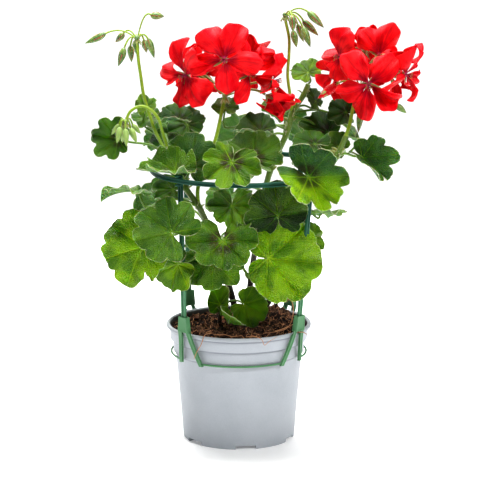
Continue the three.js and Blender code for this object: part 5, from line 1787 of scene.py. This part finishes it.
# %% Set out the flowers
for umbel in UMBELS:
    for number, flower in enumerate(umbel["flowers"], 1):
        select_only()
        draw = np.random.default_rng(31 * number + len(umbel["name"]))
        petals = [model_petal(flower, k, draw) for k in range(PETALS) if k not in flower["lost"]]
        node = f"{umbel['name']}_{number}"
        bloom = join_pieces(node.replace("bloom", "petals"), petals)
        paint(bloom, petal_scarlet)
        bpy.ops.object.shade_smooth()
        apply_modifier(bloom, "SOLIDIFY", thickness=PETAL_THICKNESS * MM, offset=0)
        hand_over(bloom, "petal", node)

# %% [markdown]
# ## Stamens
# In the throat stand seven dark filaments with small anthers, and a style with a smaller head. They are
# only a few millimetres long, but they give each flower its dark eye.

# %% Stamens and styles
stamen_dark = two_tone("stamen_dark", 300, 2, (0.16, 0.004, 0.02), (0.38, 0.02, 0.06))
anther_gold = two_tone("anther_gold", 500, 2, (0.2, 0.05, 0.02), (0.62, 0.2, 0.05), roughness=0.8)
STAMENS = 8  # the first of them is the style
USUAL_PETAL = 23  # the petals' length, in mm, for which the filaments' lengths are given

for umbel in UMBELS:
    side = umbel["name"].split("_")[1]
    runs, heads = [], []
    draw = np.random.default_rng(5)
    for flower in umbel["flowers"]:
        midrib, over, face = leaf_axes(**flower)
        root = flower["at"] + PETAL_ROOT * face
        for k in range(STAMENS):
            turn, lean = 2 * math.pi * k / STAMENS, 0.25 + 0.2 * draw.random()
            way = unit(face + lean * (midrib * (math.cos(turn) - 0.5) + over * math.sin(turn)))
            length = (5.5 + 2.5 * draw.random()) * flower["size"] / USUAL_PETAL
            end = root + length * way
            runs.append((bezier_path([root, root + 0.5 * length * face, end], 5), 0.22, 0))
            size = 0.5 if k else 0.3
            heads.append(Matrix.Translation(end) @ Matrix.Diagonal((size, size, 1.5 * size, 1)))
    stamens = round_stalks("filaments_" + side, runs, 6, [stamen_dark])
    bpy.ops.mesh.primitive_ico_sphere_add(subdivisions=1, radius=1)
    anthers = copies_of("anthers", bpy.context.object, heads)
    paint(anthers, anther_gold)
    whole = join_pieces("stamens_" + side, [stamens, anthers])
    hand_over(whole, "petal")

# %% [markdown]
# ## Hairs
# Zonal geraniums are downy: fine pale hairs stand on the stems, the buds and the leaf edges, and light
# from behind makes them a bright outline. Each hair is a thin closed spike of four faces. They are set
# by a seeded draw, evenly over a surface by area, or along a blade's edge. All lengths are in mm.

# %% Hair material and spikes
down = two_tone(
    "pale_down", 200, 2, (0.62, 0.68, 0.55), (0.85, 0.88, 0.8),
    roughness=0.6, subsurface_weight=0.3, subsurface_scale=0.0005,
)


THIRDS = (0, 2.094, 4.189)  # of a turn


def spikes(roots, ways, lengths, width):
    """Closed four-faced hairs from arrays of roots, directions and lengths, in mm."""
    ways = ways / np.linalg.norm(ways, axis=1)[:, None]
    side = np.cross(ways, np.where(np.abs(ways[:, 2:]) < 0.9, (0, 0, 1.0), (1.0, 0, 0)))
    side /= np.linalg.norm(side, axis=1)[:, None]
    other = np.cross(ways, side)
    corners = [roots + width * (math.cos(a) * side + math.sin(a) * other) for a in THIRDS]
    points = np.stack([*corners, roots + lengths[:, None] * ways], 1).reshape(-1, 3)
    first = 4 * np.arange(len(roots))[:, None]
    faces = np.concatenate([first + f for f in ((0, 1, 3), (1, 2, 3), (2, 0, 3), (2, 1, 0))])
    hairs = mesh_object("down", points, faces.tolist())
    paint(hairs, down)
    return hairs


EDGE_LENGTH = 6.2  # length of a blade's edge, in its radii


def hairs_on(obj, draw, per_square_mm, length, width):
    """Hairs spread over a mesh by area."""
    mesh = obj.data
    mesh.calc_loop_triangles()
    tri = np.array([t.vertices[:] for t in mesh.loop_triangles])
    co = np.array([v.co for v in mesh.vertices]) / MM
    a, b, c = co[tri[:, 0]], co[tri[:, 1]], co[tri[:, 2]]
    normal = np.cross(b - a, c - a)
    area = np.linalg.norm(normal, axis=1) / 2
    count = int(per_square_mm * area.sum())
    chosen = draw.choice(len(tri), count, p=area / area.sum())
    u, v = draw.random((2, count, 1))
    u, v = np.where(u + v > 1, 1 - u, u), np.where(u + v > 1, 1 - v, v)
    roots = a[chosen] + u * (b - a)[chosen] + v * (c - a)[chosen]
    upright = normal[chosen] / (2 * area[chosen][:, None] + 1e-9)
    ways = upright + 0.45 * draw.normal(size=(count, 3))  # every hair leans its own way
    return spikes(roots, ways, length * (0.5 + draw.random(count)), width)


def hairs_round(leaf, draw, per_mm, length, width):
    """Hairs along a blade's edge, pointing outwards."""
    count = int(per_mm * EDGE_LENGTH * leaf["r"])
    angle = math.radians(leaf["sinus"]) * (2 * draw.random(count) - 1)
    axes = leaf_axes(**leaf)
    edge = leaf["r"] * leaf_surface(leaf, np.ones(count), angle)[0] @ axes
    inner = leaf["r"] * leaf_surface(leaf, np.full(count, 0.96), angle)[0] @ axes
    out = edge - inner
    out = out / np.linalg.norm(out, axis=1)[:, None] + 0.4 * draw.normal(size=(count, 3))
    return spikes(edge + leaf["at"], out, length * (0.5 + draw.random(count)), width)


print("hair material:", down.name)

# %% Grow the hairs
for number, shoot in enumerate(SHOOTS):
    draw = np.random.default_rng(101 + number)
    parts = [hairs_on(shoot["stalks"], draw, per_square_mm=0.5, length=0.8, width=0.03)]
    for leaf in shoot["leaves"]:
        parts.append(hairs_round(leaf, draw, per_mm=1.2, length=0.45, width=0.035))
    if "buds" in shoot:
        parts.append(hairs_on(shoot["buds"], draw, per_square_mm=1.5, length=0.8, width=0.035))
    hairs = join_pieces("down_" + shoot["name"], parts)
    hand_over(hairs, "foliage")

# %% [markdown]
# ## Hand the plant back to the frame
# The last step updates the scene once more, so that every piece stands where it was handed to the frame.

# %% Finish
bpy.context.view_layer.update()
